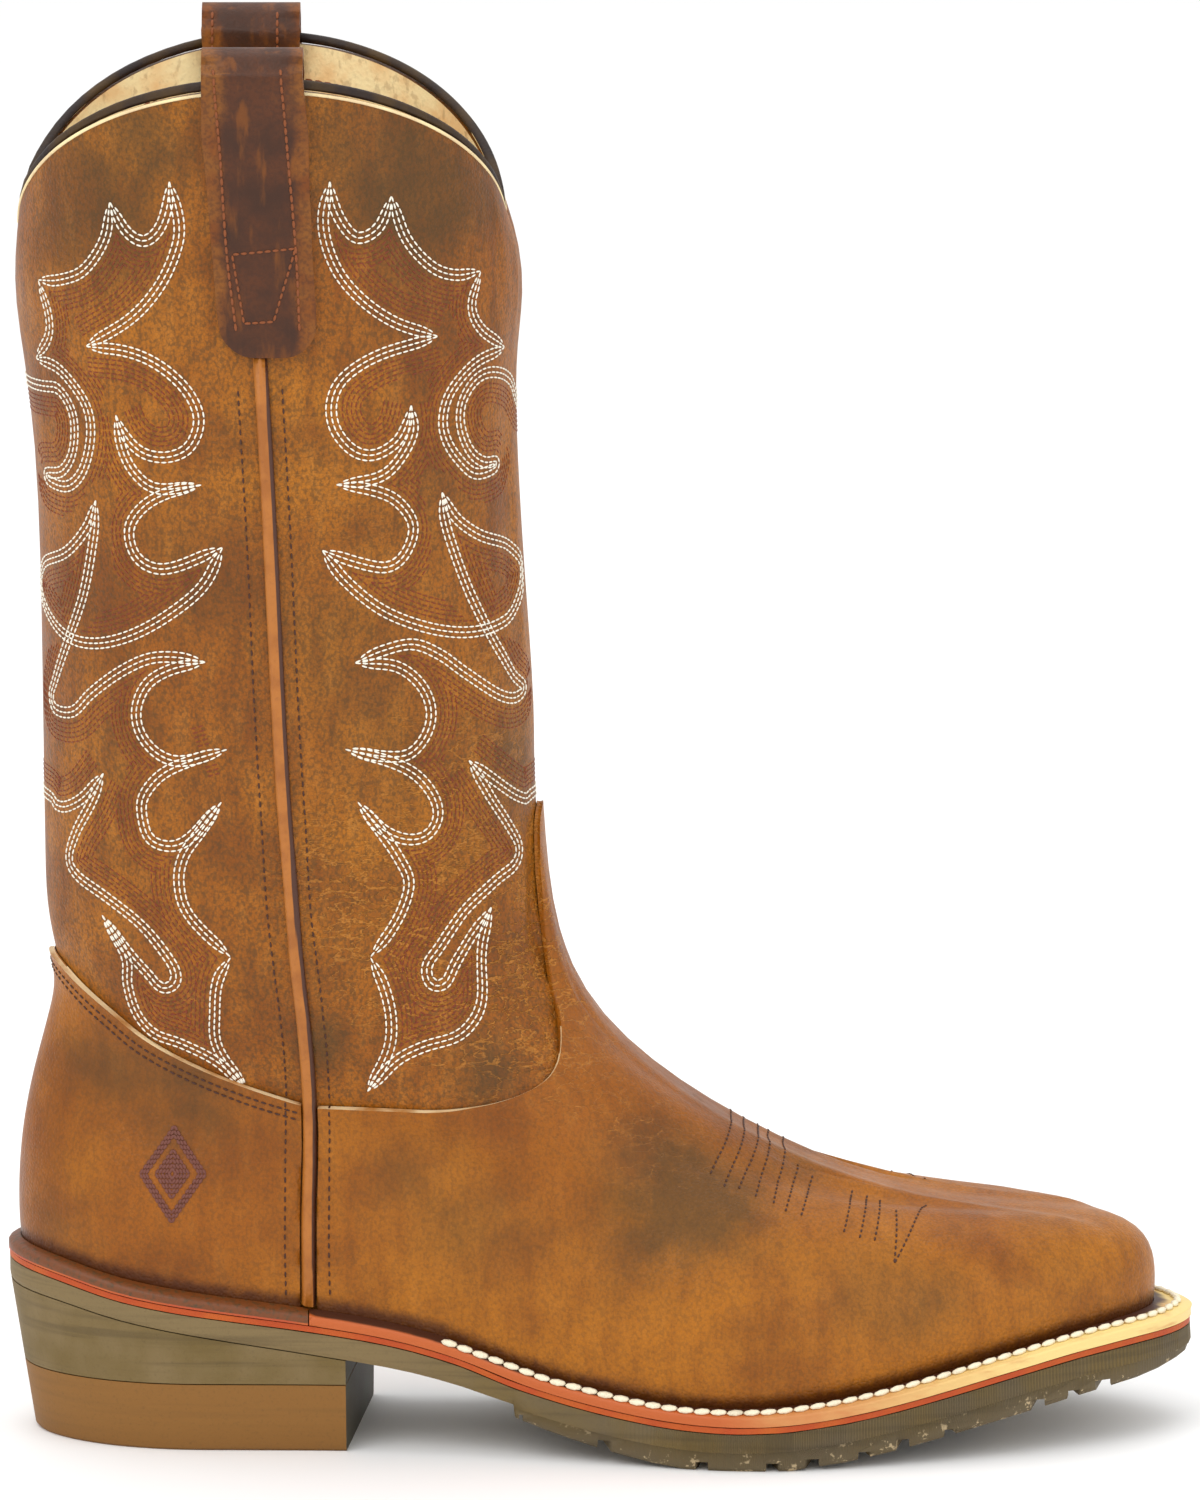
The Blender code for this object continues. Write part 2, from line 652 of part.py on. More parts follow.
def rim_strip(name, half, look):
    """Welt or heel rand: the strip between the upper's foot and the sole's edge."""
    shift = GAP / 2 if half == FRONT else -GAP / 2
    seam = SECTIONS[0].seam + shift / LENGTH
    rings = []
    for side, _, turn in around(half):
        along = share_round(half, turn, seam)
        edge = sole_outline(side, along)
        soft = sole_outline(side, along, WELT_ROUND)
        top, bottom = welt_top(along), midsole_top(along) + GAP
        inner = []
        for z in (bottom, top + WELT_LIP):
            level = level_at_height(side, half, turn, z, shift)
            inner.append(off_upper(side, half, turn, level, 2 * GAP + OVERLAY, shift))
        foot, lip = inner
        lip.z = top + WELT_LIP
        foot.z = midsole_top(share_along(foot.x)) + GAP
        lip.z = welt_top(share_along(lip.x)) + WELT_LIP
        rings.append(
            [
                foot,
                Vector((edge.x, edge.y, bottom)),
                Vector((edge.x, edge.y, top - WELT_ROUND)),
                Vector((soft.x, soft.y, top)),
                lip,
            ]
        )
    return sweep(name, rings, look)


def stations(stops, steps):
    """Shares between each pair of stops, each stretch in its number of even steps."""
    shares = [stops[0]]
    for start, stop, count in zip(stops, stops[1:], steps):
        shares += [start + (stop - start) * i / count for i in range(1, count + 1)]
    return shares


def foot_stations(middle_stops, middle_steps):
    """Shares along the foot, crowded in the round ends."""
    bends = [1 - math.cos(math.pi / 2 * i / END_STEPS) for i in range(END_STEPS)]
    heel = [HEEL_END * bend for bend in bends]
    toe = [1 - TOE_END * bend for bend in reversed(bends)]
    return heel + stations([HEEL_END, *middle_stops, 1 - TOE_END], middle_steps) + toe


def plate(name, pairs, layers, look, caps="none"):
    """A solid across the foot, through pairs of shares for its outer and inner side.

    layers(along) gives (inset, height) from top to bottom.
    """
    rings = []
    for lateral, medial in pairs:
        ring = []
        for side, along, order in ((LATERAL, lateral, 1), (MEDIAL, medial, -1)):
            for inset, height in layers(along)[::order]:
                point = sole_outline(side, along, inset)
                ring.append(Vector((point.x, point.y, height)))
        rings.append(ring)
    return sweep(name, rings, look, caps)


def build_midsole():
    def layers(along):
        top = midsole_top(along)
        return [(RIM_SETBACK, top), (RIM_SETBACK, top - MIDSOLE)]

    shares = foot_stations([0.30, 0.44], [5, 7, 12])
    return plate("midsole", zip(shares, shares), layers, ORANGE_LEATHER)


def build_insole():
    """The insole inside the upper's foot."""
    rings = []
    places = [(REAR, i / REAR_STEPS) for i in range(REAR_STEPS, -1, -1)]
    places += [(FRONT, i / FRONT_STEPS) for i in range(1, FRONT_STEPS + 1)]
    for half, turn in places:
        ring = []
        for side in (LATERAL, MEDIAL):
            edge = off_upper(side, half, turn, 0.0, -WALL - GAP)
            bottom = midsole_top(share_along(edge.x)) + GAP
            points = [Vector((edge.x, edge.y, bottom + INSOLE)), Vector((edge.x, edge.y, bottom))]
            ring += points if side == LATERAL else points[::-1]
        rings.append(ring)
    return sweep("insole", rings, INSOLE_LEATHER, caps="none")


def build_outsole():
    """The shank and, from TREAD_START on, the plate with its tread layer."""

    def layers(along):
        tread = along > TREAD_START
        top, bottom = outsole_top(along), outsole_bottom(along, tread)
        if not tread:
            rows = [(RIM_SETBACK, bottom + (top - bottom) * share) for share in SHANK_ROWS]
            return [(RIM_SETBACK, top), *rows, (SEAT_ROUND, bottom)]
        line = max(top - SOLE_PLATE, bottom + (top - bottom) * PLATE_SHARE)
        return [
            (RIM_SETBACK, top),
            (0.0, line),
            (TREAD_STEP, line - TREAD_STEP / 3),
            (TREAD_STEP, bottom + (line - bottom) * TREAD_ROW),
            (TREAD_ROUND, bottom),
        ]

    shares = foot_stations([0.30, TREAD_START, TREAD_START + TREAD_LIP / LENGTH], [4, 6, 1, 10])
    outsole = plate("outsole", zip(shares, shares), layers, SOLE_RUBBER)
    cut_grooves(outsole)
    return outsole


def groove_cutter(name, centre, size, turn):
    """A bar that cuts a groove."""
    data = bmesh.new()
    bmesh.ops.create_cube(data, size=1.0)
    bmesh.ops.scale(data, vec=size, verts=data.verts)
    mesh = bpy.data.meshes.new(name)
    data.to_mesh(mesh)
    data.free()
    cutter = bpy.data.objects.new(name, mesh)
    cutter.location = centre
    cutter.rotation_euler = (0, 0, turn)
    cutter.hide_render = True
    cutter.display_type = "WIRE"
    return cutter


def cut_grooves(outsole):
    """Grooves from both edges of the tread towards its middle, and the slot at its start."""
    cutters = bpy.data.collections.new("groove_cutters")
    cutters.hide_render = True
    bpy.context.scene.collection.children.link(cutters)
    for i, along in enumerate(GROOVES):
        for side in (LATERAL, MEDIAL):
            half = sole_half_width(along)
            length = half * GROOVE_REACH
            middle = swing(x_at(along)) + side * (half - length / 2 + GROOVE_OVERSHOOT)
            size = (GROOVE_WIDTH, length + 2 * GROOVE_OVERSHOOT, 2 * GROOVE_DEPTH)
            centre = (x_at(along), middle, outsole_bottom(along, True))
            turn = side * math.radians(GROOVE_TURN) * (1 if i % 2 else -1)
            cutters.objects.link(groove_cutter(f"groove_{i}_{side}", centre, size, turn))
    slot = TREAD_START + (TREAD_LIP + 2 * SLOT_WIDTH) / LENGTH
    size = (SLOT_WIDTH, BALL_WIDTH + 2 * GROOVE_OVERSHOOT, 4 * SLOT_WIDTH)
    centre = (x_at(slot), 0.0, outsole_bottom(slot, True))
    cutters.objects.link(groove_cutter("groove_slot", centre, size, 0.0))
    cut = outsole.modifiers.new("grooves", "BOOLEAN")
    cut.operation = "DIFFERENCE"
    cut.operand_type = "COLLECTION"
    cut.collection = cutters


def heel_shares():
    """Pairs of shares along the heel for its outer and inner side."""
    pairs = []
    for i in range(HEEL_STEPS + 1):
        bend = 1 - math.cos(math.pi / 2 * i / HEEL_STEPS)
        pairs.append((BREAST_LATERAL / LENGTH * bend, BREAST_MEDIAL / LENGTH * bend))
    return pairs


def heel_inset(along, z):
    """How far the heel's face lies behind the sole's edge at height z."""
    back = 1 - min(along / HEEL_END, 1.0)
    taper = HEEL_TAPER_SIDE + (HEEL_TAPER_BACK - HEEL_TAPER_SIDE) * back
    return SEAT_ROUND + taper * (outsole_bottom(along, False) - GAP - z)


def build_heel_block():
    def layers(along):
        top = outsole_bottom(along, False) - GAP
        return [(heel_inset(along, z), z) for z in (top, LIFT + GAP)]

    return plate("heel_block", heel_shares(), layers, HEEL_RUBBER, caps="last")


def build_top_lift():
    def layers(along):
        faces = [(heel_inset(along, z), z) for z in (LIFT, LIFT_ROUND)]
        return [*faces, (heel_inset(along, LIFT_ROUND) + LIFT_ROUND, 0.0)]

    return plate("top_lift", heel_shares(), layers, LIFT_RUBBER, caps="last")


def clear_scene():
    for item in list(bpy.data.objects):
        bpy.data.objects.remove(item)


def main():
    clear_scene()
    build_upper()
    build_overlay("vamp", FRONT)
    build_overlay("heel_counter", REAR)
    build_piping("side_piping_lateral", LATERAL)
    build_piping("side_piping_medial", MEDIAL)
    build_binding()
    build_strap("pull_strap_lateral", LATERAL)
    build_strap("pull_strap_medial", MEDIAL)
    build_insole()
    rim_strip("welt", FRONT, WELT_LEATHER)
    rim_strip("heel_rand", REAR, ORANGE_LEATHER)
    build_midsole()
    build_outsole()
    build_heel_block()
    build_top_lift()


main()
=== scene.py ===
"""Looks of the western work boot: smooth leather, stitching, sole edges, floor and light."""

import logging
import math
from dataclasses import dataclass, field
from enum import Enum
from typing import Callable, Sequence

import bmesh
import bpy
import numpy as np
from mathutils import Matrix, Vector
from mathutils.bvhtree import BVHTree
from mathutils.kdtree import KDTree


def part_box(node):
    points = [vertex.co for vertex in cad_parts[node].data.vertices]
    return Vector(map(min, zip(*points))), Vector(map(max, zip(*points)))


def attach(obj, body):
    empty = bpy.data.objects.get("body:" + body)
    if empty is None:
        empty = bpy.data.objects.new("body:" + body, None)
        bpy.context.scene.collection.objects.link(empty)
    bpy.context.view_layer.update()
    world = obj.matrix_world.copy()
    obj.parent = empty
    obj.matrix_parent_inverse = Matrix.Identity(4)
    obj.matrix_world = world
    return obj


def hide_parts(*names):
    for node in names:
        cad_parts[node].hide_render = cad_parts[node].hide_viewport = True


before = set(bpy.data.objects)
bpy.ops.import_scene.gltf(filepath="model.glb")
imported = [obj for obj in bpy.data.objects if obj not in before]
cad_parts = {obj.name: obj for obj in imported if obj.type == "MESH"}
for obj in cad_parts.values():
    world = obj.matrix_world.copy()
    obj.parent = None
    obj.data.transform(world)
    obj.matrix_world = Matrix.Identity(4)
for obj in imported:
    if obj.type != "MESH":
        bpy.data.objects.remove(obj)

LOG = logging.getLogger("boot")
MM = 0.001
LIGHT_GAIN = 1.72

Color = tuple[float, float, float, float]


def srgb(red: int, green: int, blue: int) -> Color:
    """A linear colour from display values.

    Args:
        red: red, 0 to 255, as it shows in the studio's light.
        green: green, 0 to 255.
        blue: blue, 0 to 255.

    Returns:
        The colour that a shader socket takes.
    """

    def linear(value: int) -> float:
        """One channel, from display to linear."""
        share = value / 255
        shown = share / 12.92 if share <= 0.04045 else ((share + 0.055) / 1.055) ** 2.4
        return shown / LIGHT_GAIN

    return (linear(red), linear(green), linear(blue), 1.0)


class Tone(Enum):
    """The colours seen on the boot."""

    TAN = srgb(188, 106, 12)
    AMBER = srgb(214, 130, 22)
    GOLD = srgb(244, 160, 62)
    BROWN = srgb(140, 72, 10)
    SHADE = srgb(94, 68, 30)
    # painted shade: the line above the welt, the bead's front and the welt's inner corner
    PAINTED_SHADE = srgb(88, 40, 8)
    STRAP = srgb(158, 94, 26)
    STRAP_DARK = srgb(104, 54, 20)
    STRAP_DEEP = srgb(76, 42, 22)
    PIPING = srgb(216, 130, 38)
    BINDING = srgb(46, 30, 26)
    CUT_EDGE = (0.74, 0.56, 0.32, 1.0)
    LINING = (0.92, 0.76, 0.42, 1.0)
    LINING_WORN = (0.80, 0.50, 0.22, 1.0)
    WHITE_THREAD = (0.88, 0.84, 0.72, 1.0)
    WELT_THREAD = (0.86, 0.78, 0.58, 1.0)
    RUST_THREAD = srgb(154, 58, 8)
    DARK_THREAD = srgb(84, 38, 10)
    TAN_THREAD = srgb(164, 84, 24)
    MARK_THREAD = srgb(138, 76, 60)
    WELT_ORANGE = srgb(232, 112, 36)
    WELT_CREAM = (0.80, 0.60, 0.22, 1.0)
    ORANGE = srgb(220, 88, 32)
    OLIVE = srgb(136, 112, 60)
    GREY_OLIVE = srgb(124, 108, 80)
    HEEL = srgb(156, 132, 88)
    LIFT = srgb(170, 118, 54)
    # dirt, and the painted shade in the sole's rib valleys
    DIRT_AND_SHADE = srgb(78, 64, 40)
    # painted shade on the heel's breast
    SHADED_BREAST = srgb(84, 80, 56)
    FLOOR = (0.96, 0.96, 0.96, 1.0)


class Sock:
    """A shader value that takes Python's operators."""

    def __init__(self, graph: "Graph", socket: bpy.types.NodeSocket) -> None:
        """Keep the socket and the graph that it belongs to."""
        self.graph = graph
        self.socket = socket

    def maths(self, operation: str, other: "Sock | float", swapped: bool = False) -> "Sock":
        """One Math node on this value and another.

        Args:
            operation: the Math node's operation.
            other: the second value.
            swapped: whether the second value comes first.

        Returns:
            The result.
        """
        values = (other, self) if swapped else (self, other)
        return self.graph.node("ShaderNodeMath", {"operation": operation}, dict(enumerate(values)))

    def __add__(self, other: "Sock | float") -> "Sock":
        """This value plus another."""
        return self.maths("ADD", other)

    def __sub__(self, other: "Sock | float") -> "Sock":
        """This value less another."""
        return self.maths("SUBTRACT", other)

    def __rsub__(self, other: float) -> "Sock":
        """Another value less this one."""
        return self.maths("SUBTRACT", other, swapped=True)

    def __mul__(self, other: "Sock | float") -> "Sock":
        """This value times another."""
        return self.maths("MULTIPLY", other)

    __radd__ = __add__
    __rmul__ = __mul__

    def line(self, thickness: float) -> "Sock":
        """1 on thin lines where this noise crosses its middle, and 0 away from them."""
        away = self.maths("SUBTRACT", 0.5).maths("ABSOLUTE", 0.0)
        return 1.0 - away.ramp(0.0, thickness)

    def ramp(self, low: float, high: float) -> "Sock":
        """This value as a smooth step.

        Args:
            low: where the step starts.
            high: where it ends.

        Returns:
            A value from 0 to 1.
        """
        limits = {"Value": self, "From Min": low, "From Max": high}
        settings = {"interpolation_type": "SMOOTHSTEP"}
        return self.graph.node("ShaderNodeMapRange", settings, limits)


class Graph:
    """The nodes of one material."""

    def __init__(self, name: str) -> None:
        """Make an empty material with a Principled shader."""
        self.material = bpy.data.materials.new(name)
        self.material.use_nodes = True
        self.tree = self.material.node_tree
        self.shader = self.tree.nodes["Principled BSDF"]
        self.place = self.node("ShaderNodeTexCoord", {}, {}, "Object")

    def node(self, kind: str, settings: dict, sockets: dict, output: str | int = 0) -> Sock:
        """Make one node.

        Args:
            kind: the node's type.
            settings: its properties, set first.
            sockets: values or links of its inputs, by name or number.
            output: the output to return, by name or number.

        Returns:
            That output.
        """
        made = self.tree.nodes.new(kind)
        for key, value in settings.items():
            setattr(made, key, value)
        for key, value in sockets.items():
            if isinstance(value, Sock):
                self.tree.links.new(value.socket, made.inputs[key])
            else:
                made.inputs[key].default_value = value
        return Sock(self, made.outputs[output])

    def noise(self, scale: float, detail: float = 3.0, stretch: Sequence[float] = (1, 1, 1)) -> Sock:
        """Noise over the piece.

        Args:
            scale: bumps per metre.
            detail: octaves.
            stretch: scale of each axis.

        Returns:
            A value around 0.5.
        """
        mapping = self.node("ShaderNodeMapping", {}, {"Vector": self.place, "Scale": tuple(stretch)})
        sockets = {"Vector": mapping, "Scale": scale, "Detail": detail}
        return self.node("ShaderNodeTexNoise", {}, sockets, "Fac")

    def cells(self, scale: float, feature: str = "F1") -> Sock:
        """Cells over the piece.

        Args:
            scale: cells per metre.
            feature: the Voronoi feature.

        Returns:
            The distance.
        """
        warped = self.node(
            "ShaderNodeTexNoise", {}, {"Vector": self.place, "Scale": scale * 0.6}, "Color"
        )
        amount = 0.35 / scale
        bent = self.node(
            "ShaderNodeVectorMath",
            {"operation": "MULTIPLY_ADD"},
            {0: warped, 1: (amount, amount, amount), 2: self.place},
        )
        sockets = {"Vector": bent, "Scale": scale}
        return self.node("ShaderNodeTexVoronoi", {"feature": feature}, sockets, "Distance")

    def painted(self, name: str) -> Sock:
        """A value painted on the mesh."""
        return self.node("ShaderNodeAttribute", {"attribute_name": name}, {}, "Fac")

    def mix(self, factor: "Sock | float", one: "Sock | Color", other: "Sock | Color") -> Sock:
        """Mix two colours.

        Args:
            factor: 0 for the first, 1 for the second.
            one: the first colour.
            other: the second colour.

        Returns:
            The mixed colour.
        """
        sockets = {0: factor, 6: one, 7: other}
        return self.node("ShaderNodeMix", {"data_type": "RGBA"}, sockets, 2)

    def wire(self, name: str, value: "Sock | float | Color") -> None:
        """Set one of the shader's inputs to a value or a link."""
        if isinstance(value, Sock):
            self.tree.links.new(value.socket, self.shader.inputs[name])
        else:
            self.shader.inputs[name].default_value = value

    def bump(self, height: Sock, distance: float, strength: float = 1.0) -> None:
        """Give the surface a relief.

        Args:
            height: the relief, about 0 to 1.
            distance: its depth in metres.
            strength: how much of it shows.
        """
        sockets = {"Height": height, "Distance": distance, "Strength": strength}
        self.wire("Normal", self.node("ShaderNodeBump", {}, sockets, "Normal"))


@dataclass(frozen=True)
class OiledLeather:
    """Oiled pull-up leather: mottled tan, fine grain, pale crease lines, dark rubbed places and painted shade along
    the welt.
    """

    name: str
    light: Tone = Tone.AMBER
    middle: Tone = Tone.TAN
    deep: Tone = Tone.BROWN
    rubbed: Tone = Tone.SHADE
    crease_scale: float = 95.0
    mottling: float = 1.0
    roughness: float = 0.46

    def color(self, graph: Graph) -> Sock:
        """The leather's colour, before rubs and creases.

        Args:
            graph: the material's nodes.

        Returns:
            The colour.
        """
        cloud = graph.noise(13.0, 4.0)
        patch = graph.noise(42.0, 8.0)
        streak = graph.noise(230.0, 7.0, (1.0, 1.0, 0.28))
        grain = graph.noise(1150.0, 5.0, (1.0, 1.0, 0.7))
        color = graph.mix(cloud.ramp(0.38, 0.64), self.middle.value, self.light.value)
        color = graph.mix(patch.ramp(0.44, 0.70) * 0.55, color, self.deep.value)
        color = graph.mix(streak.ramp(0.46, 0.72) * (0.55 * self.mottling), color, self.deep.value)
        color = graph.mix((1.0 - streak).ramp(0.52, 0.76) * (0.30 * self.mottling), color, Tone.GOLD.value)
        color = graph.mix(grain.ramp(0.42, 0.64) * (0.55 * self.mottling), color, self.rubbed.value)
        wrinkle = 1.0 - graph.cells(950.0, "DISTANCE_TO_EDGE").ramp(0.0, 0.16)
        return graph.mix(wrinkle * (0.30 * self.mottling), color, self.rubbed.value)

    def material(self) -> bpy.types.Material:
        """The finish as a material."""
        graph = Graph(self.name)
        shade = graph.painted("shade")
        crease = graph.painted("crease")
        welt_shade = graph.painted("welt_shade")
        patch = graph.noise(75.0, 7.0)
        fine = graph.noise(420.0, 5.0, (1.0, 1.0, 0.5))
        veins = graph.noise(self.crease_scale, 7.0, (0.7, 0.7, 1.7)).line(0.022)
        across = graph.noise(self.crease_scale * 1.8, 6.0, (0.6, 0.8, 1.8)).line(0.026)
        rubs = (shade * (patch * 1.5 + fine * 0.6)).ramp(0.10, 1.20) * 0.74
        color = graph.mix(rubs, self.color(graph), self.rubbed.value)
        color = graph.mix(((veins + across) * crease).ramp(0.05, 1.2) * 0.55, color, Tone.GOLD.value)
        # painted shade along the welt: darker where the leather meets it
        color = graph.mix((welt_shade + (fine - 0.5) * welt_shade * 0.8).ramp(0.18, 1.0) * 0.9, color, Tone.PAINTED_SHADE.value)
        graph.wire("Base Color", color)
        graph.wire("Roughness", (patch - 0.5) * 0.26 + (fine - 0.5) * 0.16 + self.roughness)
        pores = graph.cells(1100.0).ramp(0.0, 0.7)
        relief = pores * 0.16 + fine * 0.22 + patch * 0.25
        relief = relief - (veins + across) * (crease * 0.30 + 0.03)
        graph.bump(relief, 0.00055)
        graph.wire("Specular IOR Level", 0.24)
        graph.wire("Coat Weight", 0.03)
        graph.wire("Coat Roughness", 0.32)
        return graph.material


@dataclass(frozen=True)
class BeadLeather:
    """The side seam's bead: bright where the leather folds, with a painted shade line in front."""

    name: str

    def material(self) -> bpy.types.Material:
        """The finish as a material."""
        graph = Graph(self.name)
        patch = graph.noise(120.0, 6.0)
        fine = graph.noise(900.0, 4.0)
        color = graph.mix(patch.ramp(0.4, 0.66) * 0.8, Tone.PIPING.value, Tone.TAN.value)
        color = graph.mix(fine.ramp(0.5, 0.8) * 0.3, color, Tone.BROWN.value)
        line = graph.painted("shade")
        # painted shade line down the bead's front
        graph.wire("Base Color", graph.mix((line + (patch - 0.5) * 0.3).ramp(0.35, 0.7), color, Tone.PAINTED_SHADE.value))
        graph.wire("Roughness", 0.48)
        graph.bump(fine + patch, 0.00020)
        return graph.material


@dataclass(frozen=True)
class PlainLeather:
    """Leather of one colour with a second one in patches: straps, binding, lining and edges."""

    name: str
    base: Tone
    other: Tone
    grain: float = 1200.0
    relief: float = 0.00012
    roughness: float = 0.55
    flecks: float = 0.0

    def material(self) -> bpy.types.Material:
        """The finish as a material."""
        graph = Graph(self.name)
        patch = graph.noise(90.0, 6.0)
        fine = graph.noise(self.grain, 4.0)
        color = graph.mix(patch.ramp(0.35, 0.72), self.base.value, self.other.value)
        color = graph.mix(fine.ramp(0.5, 0.85) * 0.16, color, Tone.SHADE.value)
        if self.flecks:
            fleck = graph.noise(420.0, 5.0, (1.0, 1.0, 0.6)).ramp(0.55, 0.66)
            color = graph.mix(fleck * self.flecks, color, Tone.BROWN.value)
        graph.wire("Base Color", color)
        graph.wire("Roughness", (patch - 0.5) * 0.2 + self.roughness)
        graph.wire("Specular IOR Level", 0.3)
        graph.bump(fine + graph.cells(self.grain) * 0.6, self.relief)
        return graph.material


@dataclass(frozen=True)
class StrapLeather:
    """The pull straps' leather: dark and oily down the middle, lighter towards the edges."""

    name: str = "strap_leather"

    def material(self) -> bpy.types.Material:
        """The finish as a material."""
        graph = Graph(self.name)
        patch = graph.noise(95.0, 7.0)
        fine = graph.noise(1000.0, 5.0)
        streak = graph.noise(300.0, 5.0, (1.0, 1.0, 0.25))
        light = graph.mix(patch.ramp(0.38, 0.66), Tone.STRAP.value, Tone.BROWN.value)
        dark = graph.mix(patch.ramp(0.36, 0.68), Tone.STRAP_DARK.value, Tone.STRAP_DEEP.value)
        worn = (graph.painted("shade") + (patch - 0.5) * 0.9 + (streak - 0.5) * 0.5).ramp(0.20, 0.80)
        color = graph.mix(worn, light, dark)
        color = graph.mix(fine.ramp(0.42, 0.64) * 0.45, color, Tone.STRAP_DEEP.value)
        color = graph.mix((1.0 - streak).ramp(0.54, 0.74) * 0.35, color, Tone.TAN.value)
        graph.wire("Base Color", color)
        graph.wire("Roughness", (patch - 0.5) * 0.3 + 0.46)
        graph.bump(fine * 0.5 + streak * 0.5 + patch * 0.5, 0.00032)
        graph.wire("Specular IOR Level", 0.3)
        return graph.material


@dataclass(frozen=True)
class Thread:
    """Twisted thread."""

    name: str
    tone: Tone
    soil: Tone = Tone.DIRT_AND_SHADE
    roughness: float = 0.62

    def material(self) -> bpy.types.Material:
        """The finish as a material."""
        graph = Graph(self.name)
        twist = graph.noise(2600.0, 2.0, (1.0, 1.0, 0.4))
        worn = graph.noise(220.0, 4.0)
        color = graph.mix(worn.ramp(0.5, 0.8) * 0.22, self.tone.value, self.soil.value)
        graph.wire("Base Color", graph.mix(twist.ramp(0.5, 0.7) * 0.12, color, self.soil.value))
        graph.wire("Roughness", self.roughness)
        graph.bump(twist, 0.00010)
        return graph.material


@dataclass(frozen=True)
class WeltLeather:
    """The welt: orange at the waist, pale at the toe, with painted shade in its inner corner."""

    name: str = "welt_leather"

    def material(self) -> bpy.types.Material:
        """The finish as a material."""
        graph = Graph(self.name)
        x = graph.node("ShaderNodeSeparateXYZ", {}, {0: graph.place}, "X")
        low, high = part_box("welt")
        length = high[0] - low[0]
        patch = graph.noise(70.0, 5.0)
        along = (x + (patch - 0.5) * 0.04).ramp(low[0] + 0.40 * length, high[0] - 0.12 * length)
        color = graph.mix(along, Tone.WELT_ORANGE.value, Tone.WELT_CREAM.value)
        streak = graph.noise(420.0, 4.0, (0.25, 0.25, 1.6))
        color = graph.mix(streak.ramp(0.5, 0.8) * 0.45, color, Tone.WELT_ORANGE.value)
        shade = graph.painted("shade")
        # painted shade in the inner corner, where the welt meets the upper
        color = graph.mix((shade + (streak - 0.5) * 0.4).ramp(0.25, 0.9), color, Tone.PAINTED_SHADE.value)
        graph.wire("Base Color", color)
        graph.wire("Roughness", 0.5)
        graph.bump(streak + graph.noise(1500.0) * 0.4, 0.00015)
        return graph.material


@dataclass(frozen=True)
class RandLeather:
    """The heel's seat strip: an orange cut edge under a brown lip."""

    name: str = "rand_leather"

    def material(self) -> bpy.types.Material:
        """The finish as a material."""
        graph = Graph(self.name)
        patch = graph.noise(110.0, 6.0)
        fine = graph.noise(800.0, 4.0)
        color = graph.mix(patch.ramp(0.4, 0.7), Tone.ORANGE.value, Tone.WELT_ORANGE.value)
        lip = (graph.painted("shade") + (patch - 0.5) * 0.35).ramp(0.42, 0.66)
        brown = graph.mix(fine.ramp(0.45, 0.75), Tone.BROWN.value, Tone.SHADE.value)
        graph.wire("Base Color", graph.mix(lip, color, brown))
        graph.wire("Roughness", 0.5)
        graph.bump(fine + patch, 0.00018)
        return graph.material


@dataclass(frozen=True)
class EdgeRubber:
    """A sole's edge: ribs round it with painted shade in their valleys, fine layers along it, dirt and scuffs."""

    name: str
    base: Tone
    other: Tone
    rear: Tone | None = None
    ribs_per_metre: float = 0.0
    rib_depth: float = 0.00025
    layers: float = 0.4
    roughness: float = 0.62

    def material(self) -> bpy.types.Material:
        """The finish as a material."""
        graph = Graph(self.name)
        patch = graph.noise(48.0, 6.0)
        layer = graph.noise(150.0, 6.0, (0.12, 0.12, 3.4))
        speck = graph.noise(1300.0, 4.0)
        color = graph.mix(patch.ramp(0.36, 0.70), self.base.value, self.other.value)
        if self.rear is not None:
            color = graph.mix(graph.painted("front"), self.rear.value, color)
        color = graph.mix(layer.ramp(0.48, 0.70) * self.layers, color, Tone.DIRT_AND_SHADE.value)
        color = graph.mix(speck.ramp(0.52, 0.8) * 0.22, color, Tone.DIRT_AND_SHADE.value)
        relief = layer * self.layers + speck * 0.3
        if self.ribs_per_metre:
            turns = graph.painted("around") * (2 * math.pi * self.ribs_per_metre)
            wave = graph.node("ShaderNodeMath", {"operation": "SINE"}, {0: turns})
            ribbed = graph.painted("ribbed")
            relief = relief * 0.5 + (wave * 0.5 + 0.5) * ribbed
            # painted shade in the rib valleys, in the dirt colour
            valley_shade = (0.5 - wave * 0.5).ramp(0.35, 1.0) * ribbed * 0.38
            color = graph.mix(valley_shade, color, Tone.DIRT_AND_SHADE.value)
            worn = graph.painted("tread")
            color = graph.mix(worn * 0.75, color, Tone.GREY_OLIVE.value)
            pale = (graph.noise(260.0, 6.0) * 0.6 + speck * 0.4).ramp(0.57, 0.62) * worn * 0.55
            color = graph.mix(pale, color, Tone.CUT_EDGE.value)
        graph.wire("Base Color", color)
        graph.wire("Roughness", self.roughness)
        graph.wire("Specular IOR Level", 0.3)
        graph.bump(relief, self.rib_depth)
        return graph.material


@dataclass(frozen=True)
class StudioFloor:
    """The pale floor."""

    name: str = "studio_floor"

    def material(self) -> bpy.types.Material:
        """The finish as a material."""
        graph = Graph(self.name)
        graph.wire("Base Color", Tone.FLOOR.value)
        graph.wire("Roughness", graph.noise(8.0) * 0.1 + 0.6)
        return graph.material


